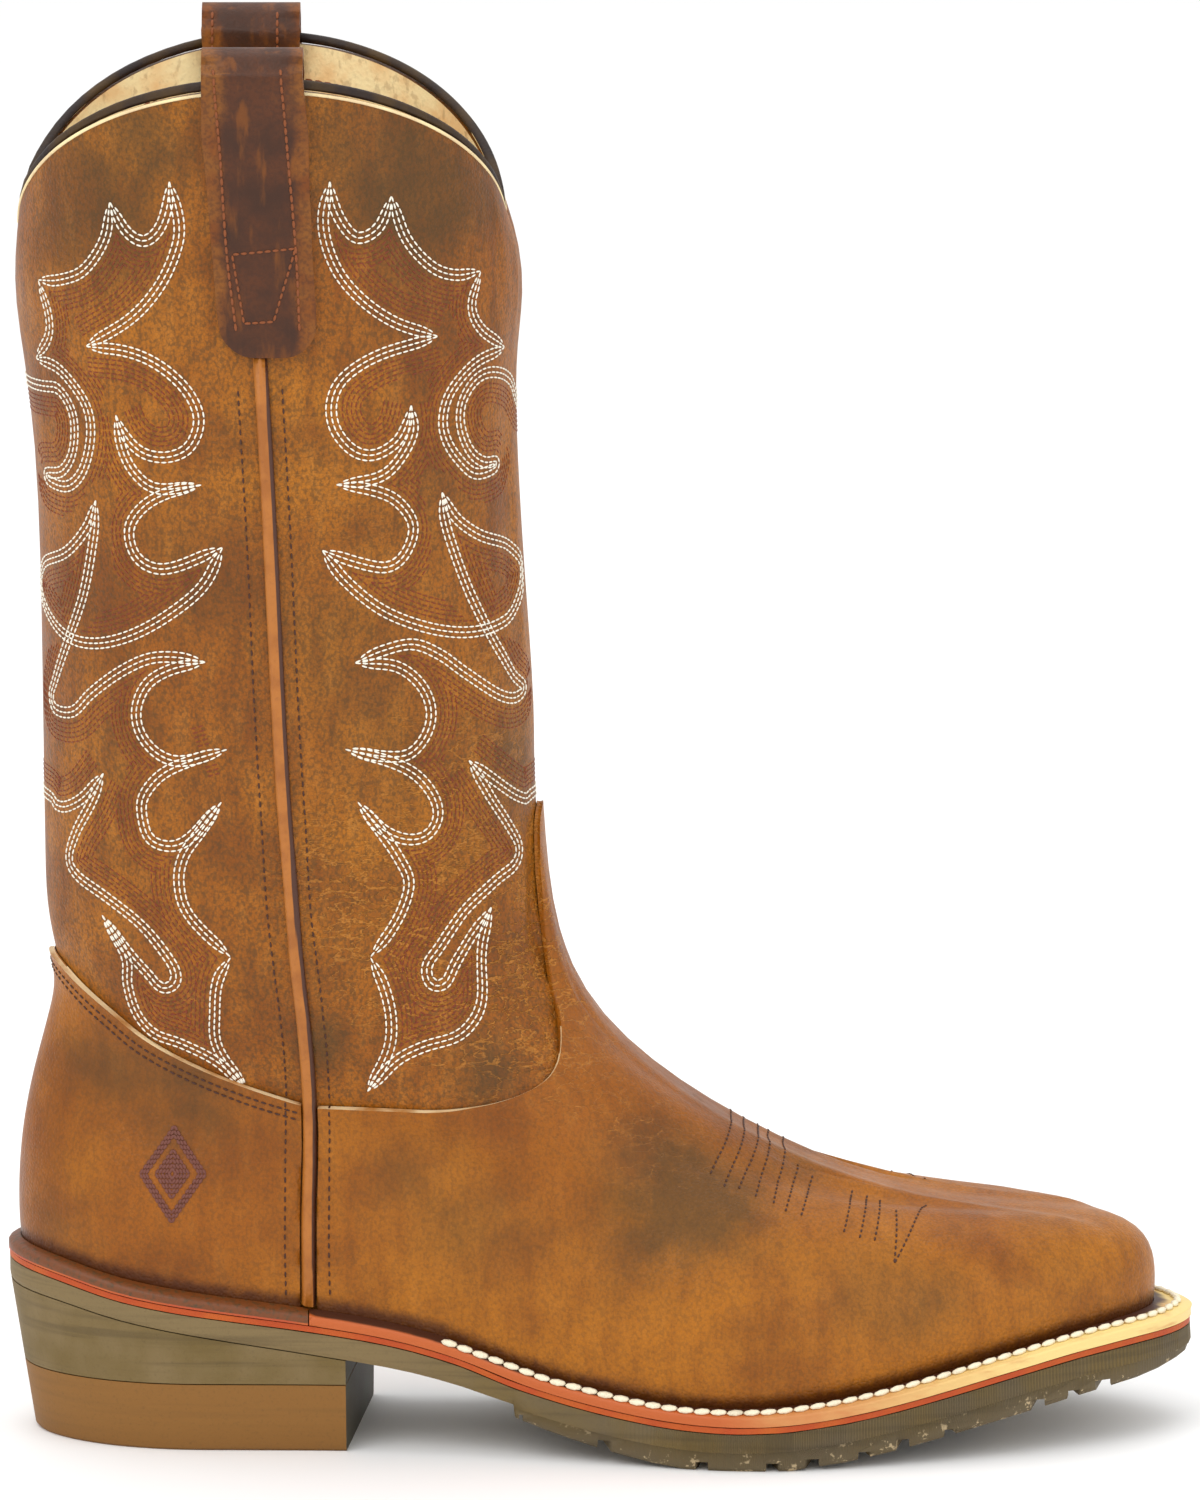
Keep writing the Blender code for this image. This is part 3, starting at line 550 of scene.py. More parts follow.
class Surface:
    """Faces of some pieces, for laying stitches on."""

    def __init__(self, *pieces: bpy.types.Object, covers: Sequence[bpy.types.Object] = ()) -> None:
        """Join the pieces' faces into one search tree.

        Args:
            pieces: the pieces.
            covers: where given, only faces that none of these covers are kept.
        """
        joined = self.join(pieces)
        if covers:
            over = BVHTree.FromBMesh(self.join(covers))
            hidden = [face for face in joined.faces if self.covered(face, over)]
            bmesh.ops.delete(joined, geom=hidden, context="FACES")
        self.tree = BVHTree.FromBMesh(joined)
        joined.free()

    @staticmethod
    def join(pieces: Sequence[bpy.types.Object]) -> bmesh.types.BMesh:
        """The faces of some pieces together."""
        joined = bmesh.new()
        for piece in pieces:
            joined.from_mesh(piece.data)
        joined.normal_update()
        return joined

    @staticmethod
    def covered(face: bmesh.types.BMFace, over: BVHTree, step: float = 0.6 * MM, reach: float = 0.4) -> bool:
        """Whether something lies in front of a face, from a small step away up to the reach."""
        start = face.calc_center_median() + face.normal * step
        return over.ray_cast(start, face.normal, reach)[0] is not None

    def nearest(self, point: Vector) -> tuple[Vector, Vector]:
        """The closest point of the surface and its normal."""
        place, normal, _, _ = self.tree.find_nearest(point)
        return place, normal

    def seen(self, camera: "PhotoCamera", pixel: tuple[float, float]) -> Vector:
        """The point that the photograph shows at a pixel.

        Args:
            camera: the photograph's camera.
            pixel: across and down in the photograph.

        Returns:
            The point, or the nearest one of the outline if the pixel just misses it.
        """
        ray = camera.ray(pixel)
        hit = self.tree.ray_cast(camera.place, ray)[0]
        if hit is not None:
            return hit
        near = camera.place + ray * (-camera.place.y / ray.y)
        return self.nearest(near)[0]


@dataclass(frozen=True)
class PhotoCamera:
    """The camera that took the photograph, seen square to the boot's outer side."""

    place: Vector = field(default_factory=lambda: Vector((0.1066, -2.75, 0.694)))
    pitch: float = math.radians(10.62)
    frame_width: int = 1200
    frame_height: int = 1500
    focal_pixels: float = 10885.0
    sensor: float = 36.0
    lens_share: float = 0.99
    rise: float = 0.0027

    def ray(self, pixel: tuple[float, float]) -> Vector:
        """The direction in which a pixel looks."""
        across = (pixel[0] - self.frame_width / 2) / self.focal_pixels
        up = (self.frame_height / 2 - pixel[1]) / self.focal_pixels
        sine, cosine = math.sin(self.pitch), math.cos(self.pitch)
        return Vector((across, cosine + up * sine, up * cosine - sine)).normalized()

    def build(self) -> None:
        """Make the camera and look through it."""
        data = bpy.data.cameras.new("photo_camera")
        data.lens = self.focal_pixels / self.frame_height * self.sensor * self.lens_share
        data.shift_y = self.rise
        data.sensor_width = self.sensor
        camera = bpy.data.objects.new("photo_camera", data)
        camera.location = self.place
        camera.rotation_euler = (math.pi / 2 - self.pitch, 0, 0)
        bpy.context.scene.collection.objects.link(camera)
        bpy.context.scene.camera = camera


def select_only(piece: bpy.types.Object) -> None:
    """Make one piece the only selected and active one."""
    bpy.ops.object.select_all(action="DESELECT")
    piece.select_set(True)
    bpy.context.view_layer.objects.active = piece


def smooth_copy(node: str, name: str, levels: int, sharp: float = 48.0) -> bpy.types.Object:
    """A smooth copy of a CAD node that still passes through the node's corners.

    Args:
        node: the node that it stands for.
        name: the new piece's name.
        levels: subdivision levels.
        sharp: edges that bend more than this many degrees stay crisp.

    Returns:
        The new piece, riding on the boot.
    """
    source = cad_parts[node]
    piece = bpy.data.objects.new(name, source.data.copy())
    bpy.context.scene.collection.objects.link(piece)
    piece.data.materials.clear()
    select_only(piece)
    bpy.ops.object.mode_set(mode="EDIT")
    bpy.ops.mesh.select_all(action="SELECT")
    bpy.ops.mesh.remove_doubles(threshold=1e-6)
    flat = math.radians(sharp)
    bpy.ops.mesh.tris_convert_to_quads(face_threshold=flat, shape_threshold=math.pi)
    bpy.ops.object.mode_set(mode="OBJECT")
    crease_sharp_edges(piece.data, flat)
    if levels:
        subdivide_through(piece, levels)
    for face in piece.data.polygons:
        face.use_smooth = True
    select_only(piece)
    bpy.ops.object.shade_smooth_by_angle(angle=math.radians(sharp - 8))
    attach(piece, "root")
    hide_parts(node)
    return piece


def crease_sharp_edges(mesh: bpy.types.Mesh, angle: float) -> None:
    """Crease the edges that bend by more than an angle."""
    work = bmesh.new()
    work.from_mesh(mesh)
    layer = work.edges.layers.float.new("crease_edge")
    for edge in work.edges:
        bends = len(edge.link_faces) == 2 and edge.calc_face_angle() > angle
        edge[layer] = 1.0 if bends else 0.0
    work.to_mesh(mesh)
    work.free()


def subdivide_through(piece: bpy.types.Object, levels: int, passes: int = 8) -> None:
    """Subdivide a piece so that its first corners stay where they were.

    Args:
        piece: the piece to subdivide.
        levels: subdivision levels.
        passes: how often the cage is corrected.
    """
    modifier = piece.modifiers.new("smooth", "SUBSURF")
    modifier.levels = 1
    modifier.render_levels = 1
    mesh = piece.data
    count = len(mesh.vertices)
    wanted = np.empty(count * 3)
    mesh.vertices.foreach_get("co", wanted)
    cage = wanted.copy()
    for _ in range(passes):
        evaluated = piece.evaluated_get(bpy.context.evaluated_depsgraph_get()).data
        found = np.empty(len(evaluated.vertices) * 3)
        evaluated.vertices.foreach_get("co", found)
        cage += wanted - found[: count * 3]
        mesh.vertices.foreach_set("co", cage)
        mesh.update()
    modifier.levels = levels
    modifier.render_levels = levels
    select_only(piece)
    bpy.ops.object.modifier_apply(modifier="smooth")


def relax(piece: bpy.types.Object, times: int, pull: float = 0.63, push: float = -0.636) -> None:
    """Even out small waves of a piece, and keep its size and its crisp edges.

    Args:
        piece: the piece.
        times: how often each corner moves to its neighbours' middle and back out.
        pull: the share of the way in.
        push: the share of the way back.
    """
    work = bmesh.new()
    work.from_mesh(piece.data)
    work.normal_update()
    kept = [vertex.index for edge in work.edges if crisp(edge, 55.0) for vertex in edge.verts]
    work.free()
    count = len(piece.data.vertices)
    free = np.ones(count, dtype=bool)
    free[kept] = False
    corners = np.empty(count * 3)
    piece.data.vertices.foreach_get("co", corners)
    corners = corners.reshape(-1, 3)
    edges = np.empty(len(piece.data.edges) * 2, dtype=np.int64)
    piece.data.edges.foreach_get("vertices", edges)
    one, other = edges.reshape(-1, 2).T
    neighbours = np.bincount(np.concatenate((one, other)), minlength=count)[:, None]
    for _ in range(times):
        for share in (pull, push):
            middle = np.empty_like(corners)
            for axis in range(3):
                along = corners[:, axis]
                middle[:, axis] = np.bincount(one, along[other], count) + np.bincount(other, along[one], count)
            corners[free] += share * (middle / neighbours - corners)[free]
    piece.data.vertices.foreach_set("co", corners.ravel())
    piece.data.update()


def paint(piece: bpy.types.Object, name: str, value: Callable[[Vector], float]) -> None:
    """Paint a value on a piece's corners.

    Args:
        piece: the piece.
        name: the attribute's name.
        value: gives the value at a point.
    """
    layer = piece.data.attributes.new(name, "FLOAT", "POINT")
    layer.data.foreach_set("value", [value(vertex.co) for vertex in piece.data.vertices])


def catmull_rom(points: Sequence[Vector], step: float) -> list[Vector]:
    """Points at even steps on the smooth curve through some points.

    Args:
        points: the points to pass through.
        step: the distance between the new points.

    Returns:
        The new points, from the first given point to the last.
    """
    ends = [points[0] * 2 - points[1], *points, points[-1] * 2 - points[-2]]
    dense = []
    for a, b, c, d in zip(ends, ends[1:], ends[2:], ends[3:]):
        count = max(4, int((c - b).length / step * 3))
        for i in range(count):
            t = i / count
            curve = b * 2 + (c - a) * t + (a * 2 - b * 5 + c * 4 - d) * t * t
            dense.append((curve + (b * 3 - a - c * 3 + d) * t**3) / 2)
    dense.append(points[-1].copy())
    reach = [0.0]
    for one, other in zip(dense, dense[1:]):
        reach.append(reach[-1] + (other - one).length)
    count = max(2, round(reach[-1] / step))
    even = []
    j = 0
    for i in range(count + 1):
        target = reach[-1] * i / count
        while j < len(reach) - 2 and reach[j + 1] < target:
            j += 1
        share = (target - reach[j]) / max(reach[j + 1] - reach[j], 1e-9)
        even.append(dense[j].lerp(dense[j + 1], min(max(share, 0.0), 1.0)))
    return even


@dataclass
class StitchRun:
    """Places of stitches along one row."""

    centres: list[Vector] = field(default_factory=list)
    tangents: list[Vector] = field(default_factory=list)
    normals: list[Vector] = field(default_factory=list)

    def add(self, centre: Vector, tangent: Vector, normal: Vector) -> None:
        """Add one stitch."""
        self.centres.append(centre)
        self.tangents.append(tangent)
        self.normals.append(normal)

    def shortened(self) -> "StitchRun":
        """The row without its first and its last stitch."""
        return StitchRun(self.centres[1:-1], self.tangents[1:-1], self.normals[1:-1])

    def extend(self, other: "StitchRun") -> None:
        """Add another row's stitches."""
        self.centres += other.centres
        self.tangents += other.tangents
        self.normals += other.normals


@dataclass(frozen=True)
class StitchKind:
    """The size of one stitch and the distance between stitches."""

    pitch: float = 1.9 * MM
    length: float = 1.65 * MM
    width: float = 0.50 * MM
    height: float = 0.50 * MM
    sunk: float = 0.05 * MM
    slant: float = 0.0


class Sewing:
    """Lays stitches on a surface and makes them one mesh."""

    def __init__(self) -> None:
        """Model the one stitch that is repeated."""
        bpy.ops.object.select_all(action="DESELECT")
        bpy.ops.mesh.primitive_uv_sphere_add(segments=6, ring_count=4, radius=0.5)
        pattern = bpy.context.active_object
        self.corners = np.array([vertex.co[:] for vertex in pattern.data.vertices])
        self.corners = self.corners[:, [2, 0, 1]]
        self.faces = [tuple(face.vertices) for face in pattern.data.polygons]
        bpy.data.objects.remove(pattern)

    @staticmethod
    def lay(
        path: Sequence[Vector],
        surface: Surface,
        offset: Callable[[float], float],
        pitch: float,
        guide: Surface | None = None,
    ) -> StitchRun:
        """Stitches beside a path on a surface.

        Args:
            path: points of the path, at even steps.
            surface: what the stitches lie on.
            offset: the distance to the path's left, from the place along it.
            pitch: the distance between stitches.
            guide: the surface that tells which way is left, if it isn't the same one.

        Returns:
            The row's stitches.
        """
        moved = []
        reach = 0.0
        for i, point in enumerate(path):
            before, after = path[max(i - 1, 0)], path[min(i + 1, len(path) - 1)]
            normal = (guide or surface).nearest(point)[1]
            left = normal.cross(after - before).normalized()
            moved.append(surface.nearest(point + left * offset(reach))[0])
            reach += (after - point).length
        row = StitchRun()
        even = catmull_rom(moved, pitch) if len(moved) > 1 else moved
        for one, other in zip(even, even[1:]):
            place, normal = surface.nearest((one + other) / 2)
            run = other - one
            if run.length > 1e-7:
                row.add(place, (run - normal * run.dot(normal)).normalized(), normal)
        return row

    def sew(self, name: str, run: StitchRun, kind: StitchKind, finish: bpy.types.Material) -> bpy.types.Object:
        """One piece with all the stitches of a run.

        Args:
            name: the piece's name.
            run: the places of the stitches.
            kind: their size.
            finish: their material.

        Returns:
            The new piece.
        """
        centres = np.array([c[:] for c in run.centres])
        tangents = np.array([t[:] for t in run.tangents])
        normals = np.array([n[:] for n in run.normals])
        sides = np.cross(normals, tangents)
        tangents = tangents * math.cos(kind.slant) + sides * math.sin(kind.slant)
        sides = np.cross(normals, tangents)
        centres = centres + normals * (kind.height / 2 - kind.sunk - kind.height * 0.15)
        scaled = self.corners * np.array([kind.length, kind.width, kind.height])
        spread = tangents[:, None, :] * scaled[None, :, 0:1]
        spread = spread + sides[:, None, :] * scaled[None, :, 1:2]
        spread = spread + normals[:, None, :] * scaled[None, :, 2:3]
        vertices = (centres[:, None, :] + spread).reshape(-1, 3)
        size = len(self.corners)
        faces = [tuple(v + i * size for v in face) for i in range(len(centres)) for face in self.faces]
        mesh = bpy.data.meshes.new(name)
        mesh.from_pydata(vertices.tolist(), [], faces)
        mesh.materials.append(finish)
        mesh.shade_smooth()
        piece = bpy.data.objects.new(name, mesh)
        bpy.context.scene.collection.objects.link(piece)
        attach(piece, "root")
        LOG.info("%s: %d stitches", name, len(centres))
        return piece


def mirrored(points: Sequence[Vector]) -> list[Vector]:
    """The same points on the boot's inner side."""
    return [Vector((point.x, -point.y, point.z)) for point in points]


Pixel = tuple[float, float]


@dataclass(frozen=True)
class Spray:
    """One line of the shaft's flame stitching, in pixels of the photograph.

    spans run from tip to tip, and crosses says that the last one goes on to the inner side.
    inward is the side on which the tone rows lie.
    """

    spans: tuple[tuple[Pixel, ...], ...]
    inward: int
    crosses: bool = False


FRONT_SPRAYS = (
    Spray(
        (
            ((327, 171), (320, 214), (332, 257), (357, 289), (393, 314), (436, 328)),
            ((436, 328), (379, 346), (343, 368), (329, 393), (332, 421), (350, 443), (371, 448),
             (393, 436), (404, 418), (409, 397)),
            ((409, 397), (411, 425), (396, 454), (375, 471), (333, 478)),
            ((333, 478), (364, 482), (393, 493), (411, 518), (404, 546), (386, 561), (357, 557),
             (319, 544)),
            ((319, 544), (343, 575), (379, 604), (421, 621), (461, 627), (493, 621), (511, 607),
             (520, 582), (520, 557), (507, 539), (479, 529), (454, 511), (440, 485)),
            ((440, 485), (443, 514), (454, 550), (471, 593), (489, 629), (511, 668), (523, 682),
             (514, 693), (496, 689), (464, 668), (439, 650), (411, 639), (379, 646), (352, 658)),
            ((352, 658), (393, 661), (418, 679), (429, 704), (425, 729), (407, 750), (379, 752),
             (342, 745)),
            ((342, 745), (386, 757), (414, 771), (432, 793), (436, 814), (425, 832), (404, 836),
             (379, 825), (355, 798)),
            ((355, 798), (379, 829), (396, 854), (407, 879), (400, 907), (386, 932), (368, 955)),
            ((368, 955), (382, 986), (389, 1018), (386, 1050), (365, 1091)),
            ((365, 1091), (393, 1061), (421, 1046), (454, 1036), (471, 1021), (480, 1000),
             (480, 964), (482, 936), (490, 904)),
            ((490, 904), (471, 932), (454, 961), (443, 982), (429, 982), (425, 964), (439, 943),
             (464, 907), (493, 879), (514, 861), (518, 843), (507, 821), (489, 793), (467, 756)),
        ),
        1,
    ),
    Spray((((467, 756), (486, 771), (511, 789), (525, 795), (530, 790)),), 1, True),
    Spray(
        (
            ((327, 171), (331, 196), (343, 219), (357, 229), (377, 217), (389, 186)),
            ((389, 186), (404, 229), (429, 257), (453, 266), (479, 262)),
            ((479, 262), (470, 296), (480, 321), (503, 339)),
            ((503, 339), (475, 354), (450, 382), (441, 411), (446, 436), (461, 457), (475, 467),
             (493, 461), (495, 454), (482, 455), (468, 443), (459, 418), (461, 393), (475, 371),
             (493, 364), (509, 372), (515, 392)),
        ),
        -1,
        True,
    ),
)

BACK_SPRAYS = (
    Spray(
        (
            ((165, 171), (175, 214), (171, 243), (154, 279), (125, 311), (81, 338)),
            ((81, 338), (121, 343), (154, 357), (182, 382), (195, 411), (186, 439), (164, 450),
             (139, 446), (121, 429), (111, 407)),
            ((111, 407), (118, 443), (132, 468), (154, 482), (198, 478)),
            ((198, 478), (164, 486), (139, 500), (125, 521), (129, 546), (146, 561), (171, 561),
             (219, 541)),
            ((219, 541), (200, 579), (168, 607), (129, 629), (93, 638), (64, 632), (43, 607),
             (36, 579), (39, 557), (61, 546), (82, 521), (91, 493)),
            ((91, 493), (89, 529), (79, 586), (64, 632), (50, 675), (46, 690), (50, 704),
             (68, 707), (86, 689), (114, 668), (143, 654), (170, 652), (202, 657)),
            ((202, 657), (168, 664), (143, 679), (132, 704), (136, 729), (154, 750), (179, 757),
             (224, 745)),
            ((224, 745), (186, 757), (157, 771), (139, 793), (138, 814), (146, 836), (168, 843),
             (189, 832), (218, 798)),
            ((218, 798), (196, 829), (179, 854), (175, 882), (186, 914), (227, 955)),
            ((227, 955), (214, 979), (211, 1011), (214, 1046), (244, 1089)),
            ((244, 1089), (214, 1061), (179, 1043), (150, 1032), (132, 1011), (123, 982),
             (121, 954), (97, 912)),
            ((97, 912), (121, 946), (143, 971), (157, 986), (170, 982), (171, 968), (157, 946),
             (132, 918), (100, 893), (71, 871), (64, 854), (71, 829), (86, 800), (99, 769)),
        ),
        -1,
    ),
    Spray((((99, 769), (79, 793), (61, 803), (50, 800), (45, 792)),), -1, True),
    Spray(
        (
            ((165, 171), (163, 197), (154, 221), (139, 232), (121, 221), (105, 192)),
            ((105, 192), (100, 229), (79, 261), (54, 271), (33, 271)),
            ((33, 271), (43, 304), (43, 329), (31, 350)),
            ((31, 350), (54, 361), (79, 393), (86, 425), (79, 461), (64, 479), (46, 475),
             (41, 466), (57, 464), (68, 443), (68, 407), (54, 382), (38, 378)),
        ),
        1,
        True,
    ),
)

TOE_PINS = (
    ((732, 1114), (711, 1175)),
    ((745, 1118), (725, 1188)),
    ((760, 1125), (740, 1190)),
    ((773, 1128), (757, 1198)),
    ((788, 1135), (775, 1205)),
    ((800, 1165), (787, 1213)),
    ((815, 1175), (803, 1217)),
    ((855, 1190), (846, 1234)),
    ((870, 1195), (862, 1240)),
    ((883, 1200), (877, 1243)),
    ((899, 1210), (897, 1265)),
    ((930, 1205), (897, 1265)),
)

STRAP_BOX = (
    ((228, 247), (292, 241)),
    ((228, 247), (240, 317)),
    ((292, 241), (270, 315)),
    ((240, 317), (270, 315)),
)

MARK_CENTRE = (168, 1174)


@dataclass(frozen=True)
class Rub:
    """A soft dark place on the leather: its middle in the photograph, its reach and strength."""

    middle: Pixel
    reach: float
    strength: float


SHAFT_RUBS = (
    Rub((70, 190), 22 * MM, 0.70),
    Rub((150, 130), 16 * MM, 0.75),
    Rub((130, 260), 16 * MM, 0.45),
    Rub((350, 150), 20 * MM, 0.75),
    Rub((420, 190), 18 * MM, 0.95),
    Rub((480, 180), 14 * MM, 0.55),
    Rub((420, 300), 16 * MM, 0.45),
    Rub((440, 480), 22 * MM, 0.50),
    Rub((510, 760), 18 * MM, 0.75),
    Rub((180, 560), 22 * MM, 0.50),
    Rub((120, 740), 20 * MM, 0.45),
    Rub((330, 640), 22 * MM, 0.50),
    Rub((380, 760), 16 * MM, 0.50),
    Rub((318, 1040), 9 * MM, 0.95),
    Rub((480, 1070), 14 * MM, 0.80),
    Rub((110, 1010), 16 * MM, 0.45),
    Rub((60, 600), 14 * MM, 0.40),
)

FOOT_RUBS = (
    Rub((180, 1090), 20 * MM, 0.80),
    Rub((80, 1060), 14 * MM, 0.60),
    Rub((60, 1230), 16 * MM, 0.50),
    Rub((665, 1165), 17 * MM, 0.80),
    Rub((730, 1205), 16 * MM, 0.70),
    Rub((800, 1160), 14 * MM, 0.60),
    Rub((640, 1250), 22 * MM, 0.55),
    Rub((470, 1230), 20 * MM, 0.50),
    Rub((870, 1290), 20 * MM, 0.50),
    Rub((940, 1300), 12 * MM, 0.50),
    Rub((400, 1180), 16 * MM, 0.35),
    Rub((1060, 1260), 16 * MM, 0.35),
)

CREASES = (
    Rub((440, 880), 26 * MM, 0.9),
    Rub((400, 960), 24 * MM, 0.9),
    Rub((500, 1000), 22 * MM, 0.9),
    Rub((500, 620), 24 * MM, 0.6),
    Rub((450, 780), 26 * MM, 0.7),
    Rub((330, 860), 18 * MM, 0.6),
    Rub((540, 940), 22 * MM, 0.8),
    Rub((330, 500), 24 * MM, 0.5),
    Rub((700, 1180), 22 * MM, 0.16),
    Rub((610, 1090), 26 * MM, 0.40),
    Rub((560, 820), 20 * MM, 0.60),
    Rub((160, 420), 20 * MM, 0.4),
    Rub((60, 300), 16 * MM, 0.5),
)


@dataclass(frozen=True)
class Fold:
    """A soft trough of the leather: its line in the photograph, its width and its depth.

    A depth below zero is a ridge.
    """

    line: tuple[Pixel, ...]
    width: float
    depth: float


FOLDS = (
    Fold(((684, 1130), (664, 1190), (650, 1270)), 6.5 * MM, 0.55 * MM),
    Fold(((728, 1160), (716, 1210), (712, 1280)), 6.0 * MM, -0.30 * MM),
    Fold(((762, 1180), (756, 1230), (762, 1290)), 6.5 * MM, 0.40 * MM),
    Fold(((852, 1230), (846, 1280), (858, 1330)), 6.5 * MM, 0.30 * MM),
    Fold(((560, 985), (520, 1010), (440, 1000)), 6.5 * MM, 0.8 * MM),
    Fold(((545, 935), (500, 950), (420, 930), (350, 940)), 6.5 * MM, 0.8 * MM),
    Fold(((530, 865), (490, 850), (420, 880)), 7.5 * MM, 0.6 * MM),
    Fold(((60, 900), (120, 930), (190, 930)), 7.5 * MM, 0.8 * MM),
    Fold(((70, 980), (140, 1010), (220, 1010)), 7.5 * MM, 0.5 * MM),
    Fold(((510, 570), (470, 600), (400, 590)), 9.0 * MM, 0.7 * MM),
    Fold(((50, 490), (90, 520), (160, 510)), 9.0 * MM, 0.6 * MM),
    Fold(((500, 310), (470, 330), (410, 320)), 9.0 * MM, 0.5 * MM),
    Fold(((400, 1130), (480, 1170), (570, 1165)), 9.0 * MM, 0.5 * MM),
)


@dataclass
class Draping:
    """Moves the leather along its soft troughs and ridges, all layers together."""

    camera: "PhotoCamera"
    step: float = 3 * MM

    def apply(self, pieces: Sequence[bpy.types.Object]) -> None:
        """Fold the pieces.

        Args:
            pieces: the layers of leather.
        """
        skin = Surface(*pieces, covers=(*pieces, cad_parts["insole"]))
        marks = []
        for fold in FOLDS:
            points = [skin.seen(self.camera, pixel) for pixel in fold.line]
            path = catmull_rom(points, self.step)
            for i, point in enumerate(path):
                place, normal = skin.nearest(point)
                fade = math.sin(math.pi * (i + 0.5) / len(path)) ** 0.5
                marks.append((place, normal, fold.width, fold.depth * fade))
                flipped = Vector((normal.x, -normal.y, normal.z))
                marks.append((Vector((place.x, -place.y, place.z)), flipped, fold.width, fold.depth * fade))
        tree = KDTree(len(marks))
        for i, mark in enumerate(marks):
            tree.insert(mark[0], i)
        tree.balance()
        widest = 2.2 * max(fold.width for fold in FOLDS)
        for piece in pieces:
            for vertex in piece.data.vertices:
                vertex.co += self.shift(vertex.co, tree, marks, widest)

    @staticmethod
    def shift(point: Vector, tree: KDTree, marks: list, widest: float) -> Vector:
        """How far a point moves: the mean of the folds near it, by nearness."""
        total = Vector()
        weight = 0.0
        strength = 0.0
        for _, i, away in tree.find_range(point, widest):
            _, normal, width, depth = marks[i]
            near = math.exp(-((away / width) ** 2))
            total -= normal * (depth * near * near)
            weight += near
            strength = max(strength, near)
        return total * (strength / weight) if weight > 1e-9 and strength > 0 else Vector()


@dataclass
class Patina:
    """Where the leather is rubbed dark and where it is creased."""

    camera: PhotoCamera
    surface: Surface

    def field(self, rubs: Sequence[Rub]) -> Callable[[Vector], float]:
        """The strength of some rubs at a point, the same on both sides of the boot.

        Args:
            rubs: the soft places.

        Returns:
            A function of a point.
        """
        spots = [(self.surface.seen(self.camera, rub.middle), rub) for rub in rubs]

        def value(point: Vector) -> float:
            """The sum of the rubs at a point."""
            side = Vector((point.x, -abs(point.y), point.z))
            total = 0.0
            for middle, rub in spots:
                away = (side - middle).length_squared / rub.reach**2
                if away < 6:
                    total += rub.strength * math.exp(-away)
            return total

        return value


def chain(piece: bpy.types.Object, wanted: Callable[[bmesh.types.BMEdge], bool]) -> list[Vector]:
    """The longest line of edges that pass a test.

    Args:
        piece: the piece whose edges are walked.
        wanted: the test.

    Returns:
        The line's points in order.
    """
    work = bmesh.new()
    work.from_mesh(piece.data)
    work.normal_update()
    edges = {edge for edge in work.edges if wanted(edge)}
    longest: list[Vector] = []
    while edges:
        first = edges.pop()
        line = [first.verts[0], first.verts[1]]
        for end in (0, 1):
            moving = True
            while moving:
                tip = line[-1]
                step = next((edge for edge in tip.link_edges if edge in edges), None)
                moving = step is not None
                if step is not None:
                    edges.discard(step)
                    line.append(step.other_vert(tip))
            if end == 0:
                line.reverse()
        if len(line) > len(longest):
            longest = [vertex.co.copy() for vertex in line]
    work.free()
    return longest


def crisp(edge: bmesh.types.BMEdge, degrees: float = 40.0) -> bool:
    """Whether an edge bends sharply."""
    return len(edge.link_faces) == 2 and edge.calc_face_angle() > math.radians(degrees)


def soft_step(value: float, low: float, high: float) -> float:
    """A smooth step from 0 at low to 1 at high."""
    share = min(max((value - low) / (high - low), 0.0), 1.0)
    return share * share * (3 - 2 * share)


def tube(name: str, path: Sequence[Vector], radius: float, closed: bool, finish: bpy.types.Material) -> bpy.types.Object:
    """A round bead along a line.

    Args:
        name: the piece's name.
        path: points of its middle.
        radius: its radius.
        closed: whether it runs round to its start.
        finish: its material.

    Returns:
        The new piece.
    """
    curve = bpy.data.curves.new(name, "CURVE")
    curve.dimensions = "3D"
    curve.bevel_depth = radius
    curve.bevel_resolution = 2
    curve.use_fill_caps = True
    spline = curve.splines.new("POLY")
    spline.points.add(len(path) - 1)
    for corner, point in zip(spline.points, path):
        corner.co = (*point, 1.0)
    spline.use_cyclic_u = closed
    piece = bpy.data.objects.new(name, curve)
    bpy.context.scene.collection.objects.link(piece)
    select_only(piece)
    bpy.ops.object.convert(target="MESH")
    piece = bpy.context.active_object
    bpy.ops.object.shade_smooth()
    piece.data.materials.clear()
    piece.data.materials.append(finish)
    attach(piece, "root")
    return piece


class Leathers(Enum):
    """The finishes, one for each look."""

    SHAFT = OiledLeather("shaft_leather")
    FOOT = OiledLeather("foot_leather", mottling=0.5, roughness=0.42)
    STRAP = StrapLeather()
    PIPING = BeadLeather("piping_leather")
    BINDING = PlainLeather("binding_leather", Tone.BINDING, Tone.SHADE)
    CUT_EDGE = PlainLeather("cut_edge", Tone.CUT_EDGE, Tone.AMBER)
    FOLDED_EDGE = PlainLeather("folded_edge", Tone.CUT_EDGE, Tone.LINING)
    LINING = PlainLeather("lining_leather", Tone.LINING, Tone.LINING_WORN, 900.0, flecks=0.28)
    ORANGE = PlainLeather("orange_leather", Tone.ORANGE, Tone.WELT_ORANGE)


